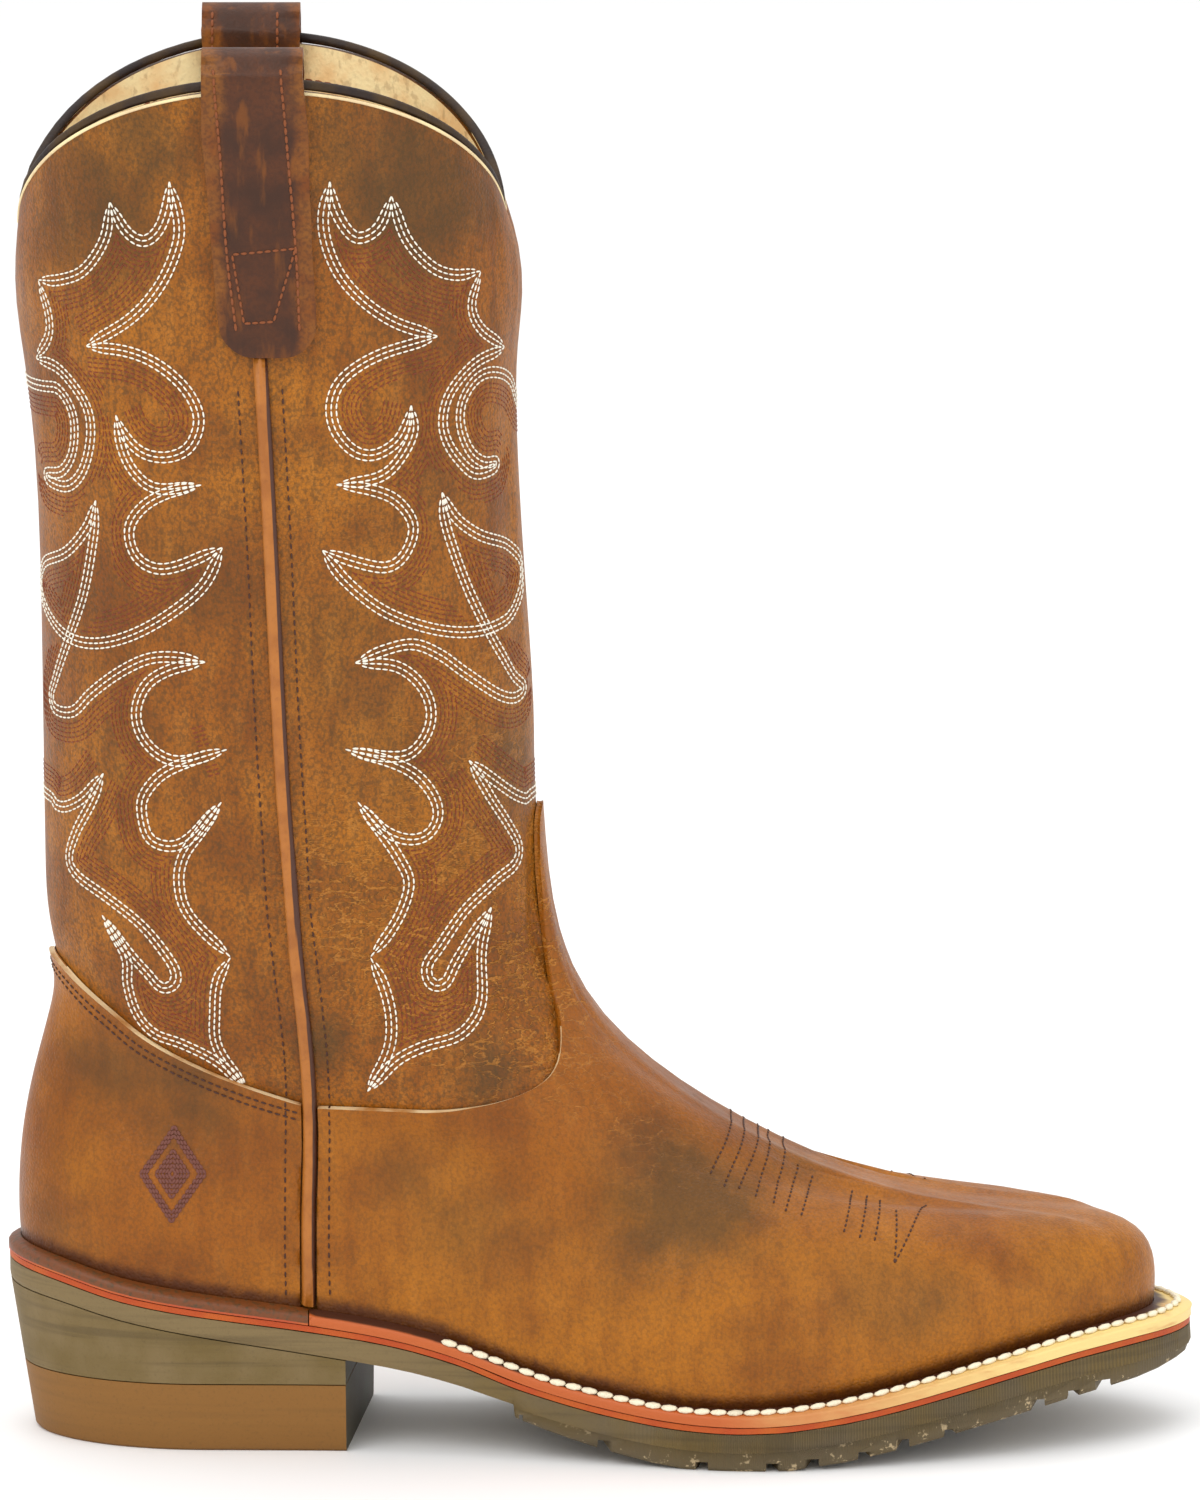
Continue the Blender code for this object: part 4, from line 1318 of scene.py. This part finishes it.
@dataclass
class Upper:
    """Shaft, vamp, counter and side piping."""

    levels: int = 2
    relaxing: int = 750
    wall_limit: float = 0.4
    edge_inset: tuple[float, float] = (2.3 * MM, 4.2 * MM)
    ahead_of_seam: float = 5.2 * MM
    behind_seam: float = 6.2 * MM
    rim_width: float = 2.4 * MM
    welt_line: float = 4.0 * MM
    bead_front: tuple[float, float] = (0.5 * MM, 1.1 * MM)

    def build(self, camera: PhotoCamera) -> None:
        """Build the leather pieces and dress them.

        Args:
            camera: the photograph's camera.
        """
        self.shaft = smooth_copy("upper", "shaft", self.levels)
        self.vamp = smooth_copy("vamp", "vamp_leather", self.levels)
        self.counter = smooth_copy("heel_counter", "counter_leather", self.levels)
        relax(self.vamp, self.relaxing)
        relax(self.counter, self.relaxing)
        Draping(camera).apply((self.shaft, self.vamp, self.counter))
        layers = (self.shaft, self.vamp, self.counter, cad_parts["insole"])
        self.lower = Surface(self.vamp, self.counter, covers=layers)
        self.shaft_side = Surface(self.shaft, covers=(self.shaft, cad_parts["insole"]))
        self.all_round = Surface(self.shaft, self.vamp, self.counter, covers=layers)
        self.walls = Surface(self.shaft)
        self.dress(camera)
        for side in ("lateral", "medial"):
            piping = smooth_copy(f"side_piping_{side}", f"piping_{side}", 1)
            piping.data.materials.append(Leathers.PIPING.value.material())
            self.shade_bead(piping, self.seam(side))

    def dress(self, camera: PhotoCamera) -> None:
        """Give the leather its finishes, rubs, creases and the painted shade along the welt."""
        patina = Patina(camera, self.all_round)
        creases = patina.field(CREASES)
        foot_rubs = patina.field(FOOT_RUBS)
        welt = Surface(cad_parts["welt"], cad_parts["heel_rand"])

        def welt_shade(point: Vector) -> float:
            """The painted shade line above the welt."""
            away = (welt.nearest(point)[0] - point).length
            return math.exp(-((away / self.welt_line) ** 2))

        paint(self.shaft, "shade", patina.field(SHAFT_RUBS))
        paint(self.shaft, "crease", creases)
        self.shaft.data.materials.append(Leathers.SHAFT.value.material())
        self.shaft.data.materials.append(Leathers.LINING.value.material())
        self.mark_lining()
        for piece, slot in ((self.vamp, "vamp"), (self.counter, "heel_counter")):
            paint(piece, "shade", foot_rubs)
            paint(piece, "crease", creases)
            # painted shade along the welt
            paint(piece, "welt_shade", welt_shade)
            piece.data.materials.append(Leathers.FOOT.value.material())
            piece.data.materials.append(Leathers.CUT_EDGE.value.material())
            self.mark_cut_edge(piece)

    def mark_cut_edge(self, piece: bpy.types.Object) -> None:
        """Give the thin top edge of an overlay its pale colour."""
        rim = catmull_rom(self.top_edge(piece), 1.5 * MM)
        tree = KDTree(len(rim))
        for i, point in enumerate(rim):
            tree.insert(point, i)
        tree.balance()
        for face in piece.data.polygons:
            normal = self.shaft_side.nearest(face.center)[1]
            across = abs(face.normal.dot(normal)) < 0.6
            if across and face.normal.z > 0.45 and tree.find(face.center)[2] < self.rim_width:
                face.material_index = 1

    def mark_lining(self) -> None:
        """Give the faces that look into the shaft the lining's colour."""
        for face in self.shaft.data.polygons:
            start = face.center + face.normal * 0.5 * MM
            hit = self.walls.tree.ray_cast(start, face.normal, self.wall_limit)
            if hit[0] is not None:
                face.material_index = 1

    def shade_bead(self, piece: bpy.types.Object, seam: list[Vector]) -> None:
        """Paint the shade line down the front of a seam's bead."""
        line = catmull_rom(seam, 2 * MM)
        tree = KDTree(len(line))
        for i, point in enumerate(line):
            tree.insert(point, i)
        tree.balance()
        paint(piece, "shade", lambda point: soft_step(point.x - tree.find(point)[0].x, *self.bead_front))

    def top_edge(self, piece: bpy.types.Object) -> list[Vector]:
        """The outer top edge of the vamp or the counter, from one seam to the other."""

        def wanted(edge: bmesh.types.BMEdge) -> bool:
            """Whether an edge lies on the outer top rim."""
            middle = (edge.verts[0].co + edge.verts[1].co) / 2
            if middle.z < 80 * MM or not crisp(edge):
                return False
            return (self.walls.nearest(middle)[0] - middle).length > 1.2 * MM

        line = chain(piece, wanted)
        for end in (0, -1):
            while len(line) > 4 and self.steep(line[end], line[1 if end == 0 else -2]):
                line.pop(end)
        return line

    @staticmethod
    def steep(one: Vector, other: Vector) -> bool:
        """Whether the way between two points goes mostly up or down."""
        way = other - one
        return abs(way.z) > 0.8 * way.length

    def seam(self, side: str) -> list[Vector]:
        """Points down the middle of a side seam's bead."""
        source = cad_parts[f"side_piping_{side}"].data.vertices
        corners = sorted((vertex.co.copy() for vertex in source), key=lambda corner: corner.z)
        group = max(1, len(corners) // 14)
        points = []
        for i in range(0, len(corners) - group + 1, group):
            near = corners[i : i + group]
            points.append(sum(near, Vector()) / group)
        return points


@dataclass
class UpperStitches:
    """All the thread on shaft and foot."""

    upper: Upper
    camera: PhotoCamera
    sewing: Sewing
    row_gap: float = 1.35 * MM
    tip_taper: float = 6.5 * MM
    tone_offsets: tuple[float, ...] = (2.9 * MM, 4.1 * MM, 5.3 * MM, 6.5 * MM, 7.7 * MM)
    trim: float = 0.93
    mark_outline: tuple[float, ...] = (11.0 * MM, 10.0 * MM, 9.0 * MM)
    mark_filling: tuple[float, ...] = (5.6 * MM, 4.5 * MM, 3.4 * MM, 2.3 * MM, 1.2 * MM)

    def build(self) -> None:
        """Lay every row."""
        white = StitchRun()
        tone = StitchRun()
        lines: list[tuple[list[Vector], int]] = []
        for sprays in (FRONT_SPRAYS, BACK_SPRAYS):
            for spray in sprays:
                lines += self.spray_lines(spray)
        sides = []
        for line, inward in lines:
            white.extend(self.triple(line))
            for before, point, after in zip(line, line[1:], line[2:]):
                normal = self.upper.shaft_side.nearest(point)[1]
                sides.append((point, normal.cross(after - before).normalized() * inward))
            sides += [(line[0], Vector()), (line[-1], Vector())]
        tree = KDTree(len(sides))
        for i, (point, _) in enumerate(sides):
            tree.insert(point, i)
        tree.balance()
        for line, inward in lines:
            tone.extend(self.tones(line, inward, tree, sides))
        self.sewing.sew("white_stitching", white, StitchKind(), Thread("white_thread", Tone.WHITE_THREAD).material())
        kind = StitchKind(pitch=1.9 * MM, length=1.6 * MM, width=0.38 * MM, height=0.26 * MM)
        self.sewing.sew("tone_stitching", tone, kind, Thread("tone_thread", Tone.RUST_THREAD).material())
        self.edge_rows()
        self.pins()
        self.mark()

    def spray_lines(self, spray: Spray) -> list[tuple[list[Vector], int]]:
        """The lines of a spray on both sides of the boot.

        Args:
            spray: the spray.

        Returns:
            Lines from tip to tip, each with the side of its tone rows.
        """
        lines = []
        for i, span in enumerate(spray.spans):
            points = [self.upper.shaft_side.seen(self.camera, pixel) for pixel in span]
            if spray.crosses and i == len(spray.spans) - 1:
                whole = points + mirrored(points)[::-1]
                lines.append((catmull_rom(whole, 1.0 * MM), spray.inward))
            else:
                line = catmull_rom(points, 1.0 * MM)
                lines.append((line, spray.inward))
                lines.append((mirrored(line), -spray.inward))
        return lines

    def triple(self, line: list[Vector]) -> StitchRun:
        """Three rows that meet at both ends of a line."""
        length = sum((b - a).length for a, b in zip(line, line[1:]))
        run = StitchRun()

        def spread(at: float) -> float:
            """How far apart the rows are, 0 at the tips."""
            near = min(at, length - at) / self.tip_taper
            return math.sin(min(max(near, 0.0), 1.0) * math.pi / 2)

        for row in (-1, 0, 1):
            aside = row * self.row_gap
            laid = Sewing.lay(line, self.upper.shaft_side, lambda at, a=aside: a * spread(at), StitchKind().pitch)
            run.extend(laid if row == 0 else laid.shortened())
        return run

    def tones(self, line: list[Vector], inward: int, tree: KDTree, sides: list[tuple[Vector, Vector]]) -> StitchRun:
        """The tone rows inside a line, cut where they would cross another line.

        Args:
            line: the white rows' middle.
            inward: the side on which the tone rows lie.
            tree: the points of all lines.
            sides: those points, each with its direction inwards.

        Returns:
            The stitches.
        """
        run = StitchRun()
        for offset in self.tone_offsets:
            row = Sewing.lay(line, self.upper.shaft_side, lambda _, o=offset: inward * o, 1.9 * MM)
            for centre, tangent, normal in zip(row.centres, row.tangents, row.normals):
                _, i, away = tree.find(centre)
                if away > self.trim * offset and (centre - sides[i][0]).dot(sides[i][1]) > 0.3 * away:
                    run.add(centre, tangent, normal)
        return run

    def edge_rows(self) -> None:
        """Two dark rows under the top edges, and one on each side of the seams."""
        run = StitchRun()
        for piece in (self.upper.vamp, self.upper.counter):
            edge = catmull_rom(self.upper.top_edge(piece)[::4], 1.5 * MM)
            inner = self.inward_sign(edge, self.upper.shaft_side)
            for inset in self.upper.edge_inset:
                aside = inner * inset
                laid = Sewing.lay(edge, self.upper.lower, lambda _, a=aside: a, 2.1 * MM, self.upper.shaft_side)
                run.extend(laid)
        for side, sign in (("lateral", 1), ("medial", -1)):
            seam = catmull_rom(self.upper.seam(side), 2 * MM)
            for offset in (self.upper.ahead_of_seam, -self.upper.behind_seam):
                aside = -sign * offset
                laid = Sewing.lay(seam, self.upper.all_round, lambda _, a=aside: a, 2.5 * MM, self.upper.shaft_side)
                run.extend(laid)
        kind = StitchKind(pitch=2.2 * MM, length=1.6 * MM, width=0.60 * MM, height=0.42 * MM)
        self.sewing.sew("edge_stitching", run, kind, Thread("dark_thread", Tone.DARK_THREAD).material())

    @staticmethod
    def inward_sign(edge: list[Vector], surface: Surface) -> int:
        """The side of an edge line on which its leather lies."""
        middle = len(edge) // 4
        normal = surface.nearest(edge[middle])[1]
        left = normal.cross(edge[middle + 1] - edge[middle - 1])
        return 1 if left.z < 0 else -1

    def pins(self) -> None:
        """The rows of pin stitches over the toe."""
        run = StitchRun()
        for start, end in TOE_PINS:
            points = [self.upper.lower.seen(self.camera, pixel) for pixel in (start, end)]
            line = catmull_rom([points[0], (points[0] + points[1]) / 2, points[1]], 1 * MM)
            for path in (line, mirrored(line)):
                run.extend(Sewing.lay(path, self.upper.lower, lambda _: 0.0, 1.9 * MM))
        kind = StitchKind(pitch=1.9 * MM, length=1.3 * MM, width=0.60 * MM, height=0.40 * MM)
        self.sewing.sew("toe_stitching", run, kind, Thread("toe_thread", Tone.DARK_THREAD).material())

    def mark(self) -> None:
        """A plain stitched lozenge on the outer side of the counter."""
        centre = self.upper.lower.seen(self.camera, MARK_CENTRE)
        run = StitchRun()
        for size in self.mark_outline + self.mark_filling:
            corners = [(0, 1.15), (0.8, 0), (0, -1.15), (-0.8, 0), (0, 1.15)]
            points = [centre + Vector((x * size, 0, z * size)) for x, z in corners]
            for one, other in zip(points, points[1:]):
                path = catmull_rom([one, (one + other) / 2, other], 1 * MM)
                run.extend(Sewing.lay(path, self.upper.lower, lambda _: 0.0, 1.5 * MM))
        kind = StitchKind(pitch=1.5 * MM, length=1.6 * MM, width=0.95 * MM, height=0.45 * MM)
        self.sewing.sew("counter_lozenge", run, kind, Thread("mark_thread", Tone.MARK_THREAD).material())


@dataclass
class Collar:
    """Binding, pale folded edge, lining seam and pull straps."""

    sewing: Sewing
    camera: PhotoCamera
    bead_radius: float = 0.45 * MM
    bead_drop: float = 0.5 * MM
    lining_row: float = 9.0 * MM
    roll: float = 0.4 * MM
    inner_depth: float = 5.0 * MM
    edge_lines: tuple[tuple[Pixel, ...], ...] = (
        ((209, 58), (213, 110), (222, 240), (232, 325)),
        ((277, 58), (283, 130), (292, 240), (296, 325)),
    )

    def build(self, upper: Upper) -> None:
        """Build the collar's pieces."""
        binding = smooth_copy("collar_binding", "binding", 1, 80.0)
        binding.data.materials.append(Leathers.BINDING.value.material())
        rim = self.outer_rim(upper)
        binding.data.materials.append(Leathers.LINING.value.material())
        self.line_binding(binding, rim)
        self.folded_edge(rim)
        self.lining_seam(rim, upper)
        for side in ("lateral", "medial"):
            self.strap(side)

    @staticmethod
    def outer_rim(upper: Upper) -> list[Vector]:
        """Points round the shaft's outer top edge."""

        def wanted(edge: bmesh.types.BMEdge) -> bool:
            """Whether an edge lies on the collar's outer rim."""
            middle = (edge.verts[0].co + edge.verts[1].co) / 2
            if middle.z < 0.31 or not crisp(edge):
                return False
            sides = [face.normal for face in edge.link_faces]
            level = min(sides, key=lambda normal: abs(normal.z))
            outward = Vector((middle.x - 0.02, middle.y, 0))
            return level.dot(outward) > 0

        return catmull_rom(chain(upper.shaft, wanted)[::2], 2.5 * MM)[:-1]

    def line_binding(self, binding: bpy.types.Object, rim: list[Vector]) -> None:
        """Let the lining cover the binding's inner side up to its roll."""
        axis = sum(rim, Vector()) / len(rim)
        tree = KDTree(len(rim))
        for i, point in enumerate(rim):
            tree.insert(Vector((point.x, point.y, 0)), i)
        tree.balance()
        for face in binding.data.polygons:
            _, i, _ = tree.find(Vector((face.center.x, face.center.y, 0)))
            inward = face.normal.dot(Vector((axis.x, 0, face.center.z)) - face.center) > 0
            if inward and face.center.z < rim[i].z + self.roll:
                face.material_index = 1

    def folded_edge(self, rim: list[Vector]) -> None:
        """The pale edge of the lining that shows under the binding."""
        path = [point - Vector((0, 0, self.bead_drop)) for point in rim]
        bead = tube("folded_edge", path, self.bead_radius, True, Leathers.FOLDED_EDGE.value.material())

    def lining_seam(self, rim: list[Vector], upper: Upper) -> None:
        """A row of stitches round the lining, below the binding."""
        axis = sum(rim, Vector()) / len(rim)
        path = []
        for point in rim:
            start = Vector((axis.x, 0, point.z - self.lining_row))
            hit = upper.walls.tree.ray_cast(start, Vector((point.x - axis.x, point.y, 0)).normalized())[0]
            if hit is not None:
                path.append(hit)
        run = Sewing.lay(path + path[:1], upper.walls, lambda _: 0.0, 2.6 * MM)
        kind = StitchKind(pitch=2.6 * MM, length=2.0 * MM, width=0.6 * MM, height=0.45 * MM)
        self.sewing.sew("lining_stitching", run, kind, Thread("lining_thread", Tone.TAN_THREAD).material())

    def strap(self, side: str) -> None:
        """One pull strap with its edge rows and its box of stitches."""
        node = f"pull_strap_{side}"
        piece = smooth_copy(node, f"strap_{side}", 2)
        piece.data.materials.append(Leathers.STRAP.value.material())
        low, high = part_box(node)
        middle, half = (low[0] + high[0]) / 2, (high[0] - low[0]) / 2
        paint(piece, "shade", lambda point: 1 - soft_step(abs(point.x - middle) / half, 0.35, 0.95))
        surface = Surface(piece, covers=(piece,))
        edges = StitchRun()
        for line in self.edge_lines:
            points = [self.on_strap(surface, side, pixel) for pixel in line]
            edges.extend(Sewing.lay(catmull_rom(points, 2 * MM), surface, lambda _: 0.0, 2.2 * MM))
            edges.extend(self.inner_row(surface, points[0].x, high[2], side))
        kind = StitchKind(pitch=2.2 * MM, length=2.1 * MM, width=0.9 * MM, height=0.5 * MM)
        name = f"strap_edge_stitching_{side}"
        self.sewing.sew(name, edges, kind, Thread(f"strap_thread_{side}", Tone.TAN_THREAD).material())
        box = StitchRun()
        for start, end in STRAP_BOX:
            one, other = (self.on_strap(surface, side, pixel) for pixel in (start, end))
            line = catmull_rom([one, (one + other) / 2, other], 1.5 * MM)
            box.extend(Sewing.lay(line, surface, lambda _: 0.0, 2.0 * MM))
        kind = StitchKind(pitch=2.0 * MM, length=1.7 * MM, width=0.8 * MM, height=0.5 * MM)
        name = f"strap_box_stitching_{side}"
        self.sewing.sew(name, box, kind, Thread(f"box_thread_{side}", Tone.TAN_THREAD).material())

    def on_strap(self, surface: Surface, side: str, pixel: Pixel) -> Vector:
        """The point of a strap's outer face at a pixel, carried over to the inner side's strap.

        Args:
            surface: the strap's faces.
            side: which strap.
            pixel: where the outer side's strap shows it.

        Returns:
            The point.
        """
        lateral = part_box("pull_strap_lateral")
        ray = self.camera.ray(pixel)
        face = lateral[0][1] + 1.5 * MM
        point = self.camera.place + ray * ((face - self.camera.place.y) / ray.y)
        if side == "medial":
            point.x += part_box("pull_strap_medial")[0][0] - lateral[0][0]
        sign = -1 if side == "lateral" else 1
        origin = Vector((point.x, sign * 0.12, point.z))
        hit = surface.tree.ray_cast(origin, Vector((0, -sign, 0)))[0]
        return hit if hit is not None else surface.nearest(Vector((point.x, sign * abs(face), point.z)))[0]

    def inner_row(self, surface: Surface, x: float, top: float, side: str) -> StitchRun:
        """A row down the leg of a strap that hangs inside the shaft."""
        sign = -1 if side == "lateral" else 1
        points = []
        for i in range(12):
            hit = surface.tree.ray_cast(Vector((x, 0, top - (2 + 4 * i) * MM)), Vector((0, sign, 0)))[0]
            if hit is None or (points and abs(hit.y - points[0].y) > self.inner_depth):
                break
            points.append(hit)
        if len(points) < 3:
            return StitchRun()
        return Sewing.lay(catmull_rom(points, 2 * MM), surface, lambda _: 0.0, 2.2 * MM)


@dataclass
class Sole:
    """Welt, rand, midsole, outsole, heel and insole."""

    sewing: Sewing
    upper: Upper
    centre: Vector = field(default_factory=lambda: Vector((0.13, 0.0, 0.1)))
    stitch_inset: float = 3.2 * MM
    least_inset: float = 0.9 * MM
    stitches_from: float = 0.064
    rib_pitch: float = 1.25 * MM
    ribs_from: tuple[float, float] = (0.095, 0.150)
    tread_below: tuple[float, float] = (5.0 * MM, 5.7 * MM)
    tread_from: tuple[float, float] = (0.080, 0.088)
    rand_line: tuple[float, float] = (0.4 * MM, 1.1 * MM)
    dark_strip: tuple[float, float] = (2.4 * MM, 4.0 * MM)
    front_from: tuple[float, float] = (0.040, 0.100)
    breast_facing: float = 0.75

    def build(self) -> None:
        """Build the sole's pieces."""
        self.welt = smooth_copy("welt", "welt_strip", 2)
        self.welt.data.materials.append(WeltLeather().material())
        self.shade_inner_corner(self.welt)
        rand = self.plain("heel_rand", "rand_strip", RandLeather().material())
        midsole = Surface(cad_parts["midsole"])
        paint(rand, "shade", lambda point: soft_step(self.away(point, midsole), *self.rand_line))
        self.plain("midsole", "midsole_edge", Leathers.ORANGE.value.material())
        self.plain("insole", "insole_cover", Leathers.LINING.value.material())
        rubber = EdgeRubber("outsole_rubber", Tone.OLIVE, Tone.GREY_OLIVE, Tone.HEEL, 1 / self.rib_pitch)
        outsole = self.plain("outsole", "outsole_rubber", rubber.material(), 0)
        self.paint_ribs(outsole, midsole)
        heel = EdgeRubber("heel_stack", Tone.HEEL, Tone.OLIVE, layers=0.35)
        lift = EdgeRubber("lift_rubber", Tone.LIFT, Tone.LIFT, layers=0.10)
        # the heel's breast faces forward under the shank: its darker tone is painted shade
        shaded_breast = EdgeRubber("shaded_breast_rubber", Tone.SHADED_BREAST, Tone.DIRT_AND_SHADE, layers=0.2)
        for node, name, finish in (("heel_block", "heel_stack", heel), ("top_lift", "heel_lift", lift)):
            piece = self.plain(node, name, finish.material())
            piece.data.materials.append(shaded_breast.material())
            for face in piece.data.polygons:
                face.material_index = 1 if face.normal.x > self.breast_facing else 0
        self.welt_stitches()

    @staticmethod
    def away(point: Vector, surface: Surface) -> float:
        """The distance from a point to a surface."""
        return (surface.nearest(point)[0] - point).length

    @staticmethod
    def plain(node: str, name: str, finish: bpy.types.Material, levels: int = 1) -> bpy.types.Object:
        """A smooth copy of a node in one finish.

        Args:
            node: the CAD node.
            name: the piece's name.
            finish: its material.
            levels: subdivision levels.

        Returns:
            The piece.
        """
        piece = smooth_copy(node, name, levels, 35.0)
        piece.data.materials.append(finish)
        return piece

    def shade_inner_corner(self, piece: bpy.types.Object) -> None:
        """Paint shade on the welt where it meets the upper."""
        leather = Surface(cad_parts["vamp"])
        paint(piece, "shade", lambda point: 1 - soft_step(self.away(point, leather), *self.dark_strip))

    def rim(self, node: str, turns: int = 400) -> list[Vector]:
        """Points round the top of a flat piece's edge.

        Args:
            node: the CAD node.
            turns: how many directions are tried.

        Returns:
            The points, from the inner side of the heel round the toe to the outer side.
        """
        tree = Surface(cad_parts[node]).tree
        points = []
        for i in range(turns + 1):
            angle = math.radians(-168 + 336 * i / turns)
            out = Vector((math.cos(angle), math.sin(angle), 0))
            reach, step = 0.16, 0.5 * MM
            hit = None
            while reach > 0.02 and hit is None:
                hit = tree.ray_cast(self.centre + out * reach, Vector((0, 0, -1)))[0]
                reach -= step
            if hit is not None:
                points.append(hit)
        return points

    def welt_stitches(self) -> None:
        """The pale row round the welt, closer to the edge where less of the welt shows."""
        points = self.rim("welt")
        leather = self.upper.lower.tree
        welt = Surface(self.welt)
        down = Vector((0, 0, -1))
        path = []
        for before, point, after in zip(points[::3], points[3::3], points[6::3]):
            run = (after - before).normalized()
            inward = Vector((-run.y, run.x, 0))
            width = 0.0
            while width < 2 * self.stitch_inset:
                start = point + inward * width + Vector((0, 0, 0.004))
                if leather.ray_cast(start + Vector((0, 0, 0.03)), down, 0.034)[0] is not None:
                    break
                width += 0.25 * MM
            inset = max(min(self.stitch_inset, 0.5 * width), self.least_inset)
            hit = welt.tree.ray_cast(point + inward * inset + Vector((0, 0, 0.02)), down)[0]
            if hit is not None and point.x > self.stitches_from:
                path.append(hit)
        kind = StitchKind(pitch=4.3 * MM, length=4.5 * MM, width=2.3 * MM, height=1.6 * MM, slant=0.16)
        run = Sewing.lay(catmull_rom(path[::2], 2 * MM), welt, lambda _: 0.0, kind.pitch)
        self.sewing.sew("welt_stitching", run, kind, Thread("welt_thread", Tone.WELT_THREAD).material())

    def paint_ribs(self, piece: bpy.types.Object, midsole: Surface) -> None:
        """Paint how far round the sole each corner lies, its ribs and its tread.

        Args:
            piece: the outsole.
            midsole: what lies on it.
        """
        points = self.rim("outsole")
        tree = KDTree(len(points))
        reach = [0.0]
        for one, other in zip(points, points[1:]):
            reach.append(reach[-1] + (other - one).length)
        for i, point in enumerate(points):
            tree.insert(Vector((point.x, point.y, 0)), i)
        tree.balance()

        def around(point: Vector) -> float:
            """Distance round the sole."""
            _, i, _ = tree.find(Vector((point.x, point.y, 0)))
            run = points[min(i + 1, len(points) - 1)] - points[max(i - 1, 0)]
            run.z = 0
            flat = Vector((point.x - points[i].x, point.y - points[i].y, 0))
            return reach[i] + flat.dot(run.normalized())

        def tread(point: Vector) -> float:
            """1 on the tread, 0 on the band above it and behind it."""
            return soft_step(self.away(point, midsole), *self.tread_below) * soft_step(point.x, *self.tread_from)

        paint(piece, "around", around)
        paint(piece, "front", lambda point: soft_step(point.x, *self.front_from))
        paint(piece, "ribbed", lambda point: soft_step(point.x, *self.ribs_from) * (1 - 0.8 * tread(point)))
        paint(piece, "tread", tread)


@dataclass
class Studio:
    """Floor and light."""

    floor_size: float = 24.0
    sky: float = 1.0

    def build(self) -> None:
        """Make the floor, the lamps and the sky."""
        bpy.ops.object.select_all(action="DESELECT")
        bpy.ops.mesh.primitive_plane_add(size=self.floor_size, location=(0, 0, 0))
        floor = bpy.context.active_object
        floor.name = "studio_floor"
        floor.data.materials.append(StudioFloor().material())
        self.lamp("key", (-0.9, -1.6, 1.9), 1.6, 20)
        self.lamp("fill", (1.6, -1.5, 1.0), 1.6, 6)
        self.lamp("top", (0.1, 0.3, 2.2), 1.8, 12)
        world = bpy.data.worlds.new("studio_sky")
        world.use_nodes = True
        sky = world.node_tree.nodes["Background"]
        sky.inputs["Color"].default_value = (1, 1, 1, 1)
        sky.inputs["Strength"].default_value = self.sky
        bpy.context.scene.world = world
        bpy.context.scene.view_settings.view_transform = "Standard"

    @staticmethod
    def lamp(name: str, place: tuple[float, float, float], size: float, power: float) -> None:
        """A square soft lamp that points at the boot.

        Args:
            name: its name.
            place: where it is.
            size: its side.
            power: its power in watts.
        """
        data = bpy.data.lights.new(name, "AREA")
        data.size = size
        data.energy = power
        lamp = bpy.data.objects.new(name, data)
        lamp.location = place
        aim = Vector((0.1, 0, 0.15)) - Vector(place)
        lamp.rotation_euler = aim.to_track_quat("-Z", "Y").to_euler()
        bpy.context.scene.collection.objects.link(lamp)


def main() -> None:
    """Build the boot's looks in order."""
    logging.basicConfig(level=logging.INFO, format="%(name)s: %(message)s")
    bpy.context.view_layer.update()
    camera = PhotoCamera()
    camera.build()
    sewing = Sewing()
    upper = Upper()
    upper.build(camera)
    LOG.info("upper built")
    UpperStitches(upper, camera, sewing).build()
    Collar(sewing, camera).build(upper)
    LOG.info("collar built")
    Sole(sewing, upper).build()
    LOG.info("sole built")
    Studio().build()
    LOG.info("boot dressed")


if __name__ == "__main__":
    main()
